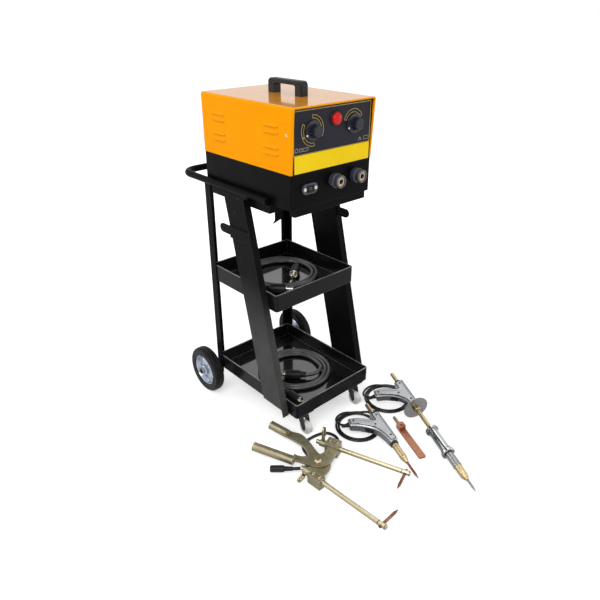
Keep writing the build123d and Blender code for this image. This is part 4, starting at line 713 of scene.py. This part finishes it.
band_line = box_line(BAND_LOW, BAND_HIGH)
add_piece("panel_band", "band", "trolley", [
    (strip, panel_face, band_line[:2], band_line[:1:-1], PRINT_LOW, PRINT_HIGH),
])
scale_shapes = [print_frame((-130.5, 813), (130.5, 914), 2.0)]
for start, end in ((92, -27), (150, 203), (206, 280)):
    scale_shapes += scale_sector(LEFT_SCALE, 28.5, 35.5, start, end)
scale_shapes += scale_sector(RIGHT_SCALE, 27, 34.5, 160, 30)
add_piece("panel_scales", "gold_print", "trolley", scale_shapes)
add_piece("panel_symbols", "grey_print", "trolley", [
    print_line((-121, 825.5), 4.6, 0, 360, 1.5),
    print_frame((-113, 821), (-103, 829), SYMBOL_LINE),
    print_frame((-101, 821), (-84, 829), SYMBOL_LINE),
    (strip, panel_face, [(88, 820.5), (94, 830.5)], [(90.4, 820.5), (94.6, 827.5)], PRINT_LOW, PRINT_HIGH),
    (strip, panel_face, [(100, 820.5), (94, 830.5)], [(97.6, 820.5), (93.4, 827.5)], PRINT_LOW, CROSSING_HIGH),
    print_frame((107, 820.5), (126, 830), SYMBOL_LINE),
])

for side, x in (("left", -KNOB_X), ("right", KNOB_X)):
    dial = at((x, 8.4, KNOB_Z), FRONT)
    dot = at((x - 19.7, 5.6, KNOB_Z - 9.4), FRONT)
    add_piece(side + "_knob_skirt", "knob", side + "_dial", [
        (ring, dial, [(0, 18), (0, 24.5), (1.2, 24.5), (2.6, 23.6), (3.6, 18)], 48),
    ])
    add_piece(side + "_knob_mark", "white_mark", side + "_dial", [
        (lathe, dot, [(-1.5, 2.5), (0.4, 2.5), (0.9, 1.8), (1.0, 0)], 16),
    ])

# Front controls

SOCKETS_X, SOCKET_Z = (5, 82), 735
CONTROL_X, CONTROL_Y, CONTROL_Z = -81, 3, 730

lamp_seat = at((5, PANEL_Y, 884), FRONT)
add_piece("lamp_bezel", "plastic", "trolley", [
    (ring, lamp_seat, [(-0.5, 14.8), (-0.5, 19), (1.6, 19), (3.2, 17.6), (3.4, 14.8)], 40),
])
socket_shapes = []
for x in SOCKETS_X:
    mouth = at((x, PANEL_Y, SOCKET_Z), FRONT)
    socket_shapes += [
        (ring, mouth, [(27.2, 12.2), (28.6, 12.6), (28.6, 14.4), (26.4, 16.3), (24.6, 16.3), (24.6, 12.2)], 40),
        (ring, mouth, [(11.6, 16), (11.6, 17.6), (13.4, 17.6), (14.2, 16.8), (14.2, 16)], 40),
    ]
add_piece("socket_rims", "socket_steel", "trolley", socket_shapes)
notch_shapes = []
for x in SOCKETS_X:
    for turn in range(6):
        way = Vector((cos(radians(60 * turn + 30)), 0, sin(radians(60 * turn + 30))))
        notch = at(Vector((x, -8, SOCKET_Z)) + way * 16.2, way, FRONT)
        notch_shapes.append((prism, notch, box_line((-1.6, -5.5), (1.6, 5.5)), -0.6, 1.1))
add_piece("socket_grip_ribs", "blue_plastic", "trolley", notch_shapes, bevel=0.4)

control_face = at((CONTROL_X, CONTROL_Y, CONTROL_Z), FRONT)
window_line = box_line((-9.6, -7.6), (9.6, 7.6))
window_outer = box_line((-11.4, -9.2), (11.4, 9.2))
add_piece("control_socket_plate", "plastic", "trolley", [
    (strip, control_face, window_outer, window_line, -0.4, 1.6, True),
    (prism, control_face, box_line((-5.6, -4.6), (5.6, 4.6)), -5, -0.6),
], bevel=0.4)
add_piece("control_socket_screws", "white_mark", "trolley", [
    (screw, at((CONTROL_X + x, CONTROL_Y, CONTROL_Z), FRONT), 4.2, 2.4) for x in (-17.5, 17.5)
])
pin_profile = [(-3, 0.9), (1.6, 0.9), (2.2, 0.5), (2.2, 0)]
add_piece("control_socket_pins", "brass", "trolley", [
    (lathe, at((CONTROL_X + x, CONTROL_Y + 0.4, CONTROL_Z + z), FRONT), pin_profile, 10)
    for x in (-3.2, 0, 3.2) for z in (-2.2, 2.2)
])

# Case: side screws, front lip and rear screws

add_piece("cover_side_screws", "silver", "trolley", [
    (screw, at((side * 138, 23, 861), (side, 0, 0)), 3.4, 1.8) for side in (-1, 1)
])

# Rolled lip round the front edge of the cover, leaning out at the top as the edge does
lip_way = Vector((0, -153, -7.6))
lip_place = at((0, 0.2, 923), lip_way)
lip_outer = mirrored_line([(-138, -153.5), (-138, -6)] + arc((-132, -6), 6, 180, 90, 6)[1:])
lip_inner = mirrored_line([(-133.6, -153.5), (-133.6, -7)] + arc((-131, -7), 2.6, 180, 90, 6)[1:])
add_piece("cover_front_lip", "yellow", "trolley", [
    (strip, lip_place, lip_outer, lip_inner, -4.2, 0.3),
], bevel=0.9)

SCREW_INSET = 10
panel_low, panel_high = (Vector(corner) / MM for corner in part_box("rear_panel"))
rear_screws = []
for x in (panel_low.x + SCREW_INSET, panel_high.x - SCREW_INSET):
    for part in (0.06, 0.5, 0.94):
        z = panel_low.z + (panel_high.z - panel_low.z) * part
        rear_screws.append((screw, at((x, panel_high.y, z), (0, 1, 0)), 4.4, 2.2))
add_piece("rear_panel_screws", "zinc", "trolley", rear_screws)

# Wheels and castors

WHEEL_X, AXLE_Y, AXLE_Z = 189, 367, 75
ROLLER_X, ROLLER_Y, ROLLER_Z = 105, -13, 21

axle_low, axle_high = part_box("axle")
for name, side in (("left", -1), ("right", 1)):
    hub = at((side * WHEEL_X, AXLE_Y, AXLE_Z), (side, 0, 0))
    ribs = []
    for radius in (55, 66.5):
        for outer, inner in ((16.1, 14.6), (-16.1, -14.6)):
            rib = [(inner, radius - 1.5), (outer, radius - 0.8), (outer, radius + 0.8), (inner, radius + 1.5)]
            ribs.append((ring, hub, rib, 72))
    add_piece(name + "_tyre_ribs", "tyre", name + "_wheel", ribs)
    end_x = (axle_low[0] if side < 0 else axle_high[0]) / MM
    add_piece(name + "_axle_nut", "plastic", "trolley", [
        (hex_bolt, at((end_x - side * 0.3, AXLE_Y, AXLE_Z), (side, 0, 0)), 6.4, 4.0),
    ], bevel=0.3)
    roller = (side * ROLLER_X, ROLLER_Y, ROLLER_Z)
    add_piece(name + "_roller_rings", "white_nylon", name + "_roller", [
        (ring, at(roller, (way, 0, 0)), [(8.2, 12.4), (9.5, 12.9), (9.5, 14.2), (8.2, 14.8)], 40) for way in (-1, 1)
    ])

# Plugs of the tray cables, at the cables' ends, with the heading in degrees at which each cable leaves

collars, plug_ribs = [], []
for place, way in (
    (middle_route[0], 40), (middle_route[-1], 135), (bottom_route[0], -44), (bottom_route[-1], 88),
):
    plug = at(place, (-cos(radians(way)), -sin(radians(way)), 0))
    collars += [
        (ring, plug, [(63.4, 6.6), (63.4, 12.6), (66.6, 12.6), (67.4, 11.6), (67.4, 6.6)], 32),
        (ring, plug, [(70.5, 6.3), (70.5, 6.9), (72.5, 6.9), (72.5, 6.3)], 24),
    ]
    for along in (28, 34, 40, 46):
        rib = [(along, 13.4), (along + 0.6, 14.25), (along + 2.6, 14.25), (along + 3.2, 13.4)]
        plug_ribs.append((ring, plug, rib, 32))
    plug_ribs.append((ring, plug, [(0.5, 7.9), (0.5, 9.3), (3.5, 9.5), (4, 8.2)], 32))
add_piece("plug_collars", "silver", "trolley", collars)
add_piece("plug_grip_ribs", "plug", "trolley", plug_ribs)

# Pulling guns and hammer; heights on a flank are from the gun's middle plane

PAD_LOW, PAD_HIGH = 13.5, 15.4
SEAM_LOW, SEAM_HIGH, SEAM_WIDTH = 13.4, 14.4, 2.0
GROOVE_LOW, GROOVE_HIGH, GROOVE_HALF = 14.8, 15.55, 0.6
SCREW_SEAT = 15.3


def tool_place(stub, heading, drop, roll):
    """Frame of a tool: x along it, z out of its upper side."""
    turn, dip, roll = radians(heading), radians(drop), radians(roll)
    x = Vector((cos(turn) * cos(dip), sin(turn) * cos(dip), -sin(dip)))
    rise = Vector((cos(turn) * sin(dip), sin(turn) * sin(dip), cos(dip)))
    z = rise * cos(roll) - rise.cross(x) * sin(roll)
    y = z.cross(x)
    axes = Matrix(((x.x, y.x, z.x), (x.y, y.y, z.y), (x.z, y.z, z.z))).to_4x4()
    return Matrix.Scale(MM, 4) @ Matrix.Translation(stub) @ axes


# Turn a tool's frame so that x points out of its upper or its lower flank
FLIP_UP = Matrix(((0, 1, 0, 0), (0, 0, 1, 0), (1, 0, 0, 0), (0, 0, 0, 1)))
FLIP_DOWN = Matrix(((0, 1, 0, 0), (0, 0, -1, 0), (-1, 0, 0, 0), (0, 0, 0, 1)))


def gun_pad(nose):
    """Outline of the raised pad on a gun's flank, in the gun's x and y."""
    return [
        (51, 9.5), (nose - 11, 9.5), (nose - 6, 5), (nose - 6, -6), (nose - 27, -9.5), (113.5, -17), (102, -25.5),
        (91.5, -36), (82, -48), (73.5, -60), (67, -72), (62, -83), (43.5, -80.5), (47, -68), (51.5, -56.5),
        (58.5, -45), (66.5, -33.5), (79, -15.5), (75, -9.5), (51, -9.5),
    ]


def grown(outline, by):
    """The outline pushed outwards by a small step."""
    count = len(outline)
    out = []
    for i in range(count):
        before, after = Vector(outline[i - 1]), Vector(outline[(i + 1) % count])
        run = (after - before).normalized()
        out.append((outline[i][0] - run.y * by, outline[i][1] + run.x * by))
    return out


gun_a_place = tool_place((89, -76, 36), -109.9, 6.2, 4)
gun_b_place = tool_place((246, -43, 59.8), -112.9, 6.5, 19)
for name, place, nose, nut, route in (
    ("gun_a", gun_a_place, 167, 5.0, gun_a_route), ("gun_b", gun_b_place, 155, 3.0, gun_b_route),
):
    faces = [place @ FLIP_UP, place @ FLIP_DOWN]
    pad = gun_pad(nose)
    mirrored = [(x, -y) for x, y in pad]
    pads = [(prism, face, line, PAD_LOW, PAD_HIGH) for face, line in zip(faces, (pad, mirrored))]
    # Dark strips round the pads: painted shade in the seam gaps.
    wider = grown(pad, SEAM_WIDTH), grown(mirrored, -SEAM_WIDTH)
    seam_shades = [(prism, face, line, SEAM_LOW, SEAM_HIGH) for face, line in zip(faces, wider)]
    add_piece(name + "_flank_pads", "gun", name, pads, bevel=1.1)
    add_piece(name + "_flank_seam_shades", "dark_steel", name, seam_shades)
    # Dark strips along the flanks: painted shade in grooves.
    groove_shades = []
    for face, flip in zip(faces, (1, -1)):
        for first, second in (((104, -21), (60, -79)), ((84, -20), (48, -77)), ((54, 6.2), (nose - 14, 6.2))):
            run = (Vector(second) - Vector(first)).normalized() * GROOVE_HALF
            one = [(first[0] - run.y, (first[1] + run.x) * flip), (second[0] - run.y, (second[1] + run.x) * flip)]
            two = [(first[0] + run.y, (first[1] - run.x) * flip), (second[0] + run.y, (second[1] - run.x) * flip)]
            groove_shades.append((strip, face, one, two, GROOVE_LOW, GROOVE_HIGH))
    add_piece(name + "_flank_groove_shades", "dark_steel", name, groove_shades)
    heads = []
    for x, y in ((60, 0), (nose - 22, 1), (92, -20), (55, -73)):
        for face, flip in zip(faces, (1, -1)):
            heads.append((screw, face @ Matrix.Translation((SCREW_SEAT, x, y * flip)), 3.1, 1.0))
    add_piece(name + "_screws", "dark_steel", name, heads)
    rear, front = nose - 2, nose + nut
    add_piece(name + "_nose_nut", "dark_steel", name, [
        (ring, place, [(rear, 9.6), (rear, 12.6), (front - 1, 12.6), (front, 11.8), (front, 9.6)], 32),
        (ring, place, [(41.5, 6.7), (41.5, 10.5), (47, 11), (47, 6.7)], 32),
    ])
    leave = Vector(route[1]) - Vector(route[0])
    boot = at(route[0], leave)
    boot_profile = [(-3, 0), (-3, 7.2), (3, 7.2)]
    for i in range(4):
        start, rib, groove = 5 + 4 * i, 6.2 - 0.55 * i, 5.3 - 0.5 * i
        boot_profile += [(start, rib), (start + 2.4, rib), (start + 2.8, groove), (start + 3.8, groove - 0.1)]
    boot_profile += [(22, 3.5), (22, 0)]
    add_piece(name + "_cable_boot", "plug", name, [(lathe, boot, boot_profile, 24)])

add_piece("gun_a_holder_rings", "brass", "gun_a", [
    (ring, gun_a_place, [(x, 8.9), (x, 9.7), (x + 2.4, 9.7), (x + 2.4, 8.9)], 32) for x in (176, 181, 214)
])
add_piece("gun_b_disc", "disc", "gun_b", [
    (ring, gun_b_place, [(158.5, 6.6), (158.5, 38.4), (159, 39), (161, 39), (161.5, 38.4), (161.5, 6.6)], 72),
], replaces=["hammer_collars"])
add_piece("gun_b_collar", "brass", "gun_b", [
    (ring, gun_b_place, [(161.5, 6.6), (161.5, 9.4), (163, 10), (171.5, 10), (173, 8.6), (173, 6.6)], 40),
])
add_piece("gun_b_chuck", "disc", "gun_b", [
    (ring, gun_b_place, [
        (350.3, 6.6), (350.3, 11), (351.3, 12), (368, 12), (368.6, 11.1), (370.4, 11.1), (371, 12), (388, 12),
        (388.6, 10.9), (390.2, 10.9), (390.6, 12.6), (395, 12.6), (396, 11.6), (396, 6.6),
    ], 40),
])
add_piece("gun_b_holder_sleeve", "brass", "gun_b", [
    (ring, gun_b_place, [
        (396.4, 9), (396.4, 10.6), (403, 10.6), (403.6, 9.9), (405.2, 9.9), (405.8, 10.6), (412.4, 10.6), (413, 9.9),
        (414.6, 9.9), (415.2, 10.6), (427, 10.6), (430, 9.4), (436, 7.6), (436, 5.5), (423, 9),
    ], 40),
])
weight_rings = []
for along in (262, 266, 332.4, 336.4):
    bead = [(along, 13.4), (along + 0.4, 15), (along + 2.2, 15), (along + 2.6, 13.4)]
    weight_rings.append((ring, gun_b_place, bead, 40))
add_piece("hammer_grip_rings", "chrome", "hammer", weight_rings)

# Tongs: for each half its body, the middle and top of its clamp block, and the heading and reach of its arm

ARM_Z, GRIP_Z = 22, 21.3
BOLT_APART = 11  # from the middle of the block

for name, body, block, top_z, heading, reach in (
    ("base", "tongs", (-108, -128), 38.0, -70, 225), ("swing", "tong_lever", (-225, -182), 30.5, -87, 229),
):
    way = Vector((cos(radians(heading)), sin(radians(heading)), 0))
    bolts = []
    for along in (-BOLT_APART, BOLT_APART):
        spot = Vector((*block, top_z)) + way * along
        bolts.append((hex_bolt, at(spot, (0, 0, 1), way), 4.6, 4.2))
    add_piece("tong_" + name + "_block_bolts", "gold_bar", body, bolts, bevel=0.3)
    arm = at((*block, ARM_Z), way)
    add_piece("tong_" + name + "_arm_rings", "dark_steel", body, [
        (ring, arm, [(along, 6.2), (along, 6.85), (along + 1.8, 6.85), (along + 1.8, 6.2)], 28)
        for along in (reach - 24, reach - 3.5)
    ])

for name, body, root, end in (
    ("base", "tongs", (-226, -94), (-271, 24)), ("swing", "tong_lever", (-166, 0), (-176, 62)),
):
    grip = at((*end, GRIP_Z), (end[0] - root[0], end[1] - root[1], 0))
    add_piece("tong_" + name + "_grip_rim", "gold_bar", body, [
        (strip, grip, rounded_box(25.4, 23.2, 9.6), rounded_box(19, 17, 6.5), -3.2, 0.6, True),
    ], bevel=0.5)
    # Dark block inside the grip's open end: painted shade in the hollow.
    add_piece("tong_" + name + "_grip_hollow_shade", "dark_steel", body, [
        (prism, grip, rounded_box(19.2, 17.2, 6.6), -14, -6),
    ])

# Pale strips along the tops of the trays: painted highlights on their rims

for tray in ("middle_tray", "bottom_tray"):
    low, high = (Vector(corner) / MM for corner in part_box(tray))
    middle = (low + high) / 2
    width, depth = high.x - low.x, high.y - low.y
    top = at((middle.x, middle.y, high.z), (0, 0, 1), (0, 1, 0))
    rim_lines = rounded_box(width - 0.6, depth - 0.6, 6.7), rounded_box(width - 7.0, depth - 7.0, 3.5)
    add_piece(tray + "_lip", "tray_lip", "trolley", [(strip, top, *rim_lines, -0.5, 0.5, True)])

# Stage: white floor and surround, and soft studio light

NEAR_FLOOR, FAR_FLOOR = 0.7, 2.2  # the floor's own white grows between these distances
NEAR_GLOW, FAR_GLOW = 0.50, 0.85
FLOOR_REACH, FLOOR_DROP = 9.0, 0.0005  # half its side, and how far it lies under the object
WORLD_LIGHT, WORLD_WHITE = 0.46, 1.0  # on the object, and as the camera and reflections see it


def seen_rays(tree):
    """1 for rays from the camera and those that metal and glass send on, else 0."""
    paths = tree.nodes.new("ShaderNodeLightPath")
    seen = paths.outputs["Is Camera Ray"]
    for way in ("Is Glossy Ray", "Is Transmission Ray"):
        either = tree.nodes.new("ShaderNodeMath")
        either.operation = "MAXIMUM"
        tree.links.new(seen, either.inputs[0])
        tree.links.new(paths.outputs[way], either.inputs[1])
        seen = either.outputs[0]
    return seen


def stage_material():
    """White floor that keeps the object's shadow and looks white to the camera and in reflections."""
    s = Shader("floor")
    s.link(s.mix(s.noise(3.0), (0.80, 0.80, 0.80), (0.82, 0.82, 0.82)), s.surface.inputs["Base Color"])
    s.set(Roughness=0.9, Specular_IOR_Level=0.0, Emission_Color=(1, 1, 1, 1))
    away = s.add("ShaderNodeVectorMath", operation="LENGTH")
    s.link(s.place, away.inputs[0])
    glow = s.span(away.outputs["Value"], NEAR_FLOOR, FAR_FLOOR, NEAR_GLOW, FAR_GLOW)
    s.link(s.times(seen_rays(s.tree), glow), s.surface.inputs["Emission Strength"])
    return s.material


floor_mesh = bpy.data.meshes.new("floor")
floor_line = box_line((-FLOOR_REACH, -FLOOR_REACH), (FLOOR_REACH, FLOOR_REACH))
floor_mesh.from_pydata([(x, y, 0) for x, y in floor_line], [], [(0, 1, 2, 3)])
floor_mesh.materials.append(stage_material())
floor = bpy.data.objects.new("floor", floor_mesh)
bpy.context.scene.collection.objects.link(floor)
floor.location.z = -FLOOR_DROP

world = bpy.data.worlds.new("studio")
bpy.context.scene.world = world
world.use_nodes = True
world_tree = world.node_tree
sky = world_tree.nodes["Background"]
sky.inputs["Color"].default_value = (1, 1, 1, 1)
level = world_tree.nodes.new("ShaderNodeMapRange")
level.inputs["To Min"].default_value = WORLD_LIGHT
level.inputs["To Max"].default_value = WORLD_WHITE
world_tree.links.new(seen_rays(world_tree), level.inputs["Value"])
world_tree.links.new(level.outputs["Result"], sky.inputs["Strength"])


def soft_light(name, place, aim, size, power):
    """Round studio lamp, aimed at a point of the object."""
    data = bpy.data.lights.new(name, "AREA")
    data.shape = "DISK"
    data.size = size
    data.energy = power
    lamp = bpy.data.objects.new(name, data)
    lamp.location = place
    lamp.rotation_euler = (Vector(aim) - Vector(place)).to_track_quat("-Z", "Y").to_euler()
    bpy.context.scene.collection.objects.link(lamp)


soft_light("key", (-2.2, -1.2, 2.6), (0, 0.1, 0.5), 2.0, 58.0)
soft_light("top", (0.3, 0.4, 3.0), (0, 0.1, 0.5), 2.4, 17.0)
soft_light("fill", (1.8, -2.2, 1.4), (0, 0, 0.4), 2.0, 18.0)
soft_light("rear", (-2.2, 2.4, 1.7), (0, 0.2, 0.45), 2.0, 20.0)
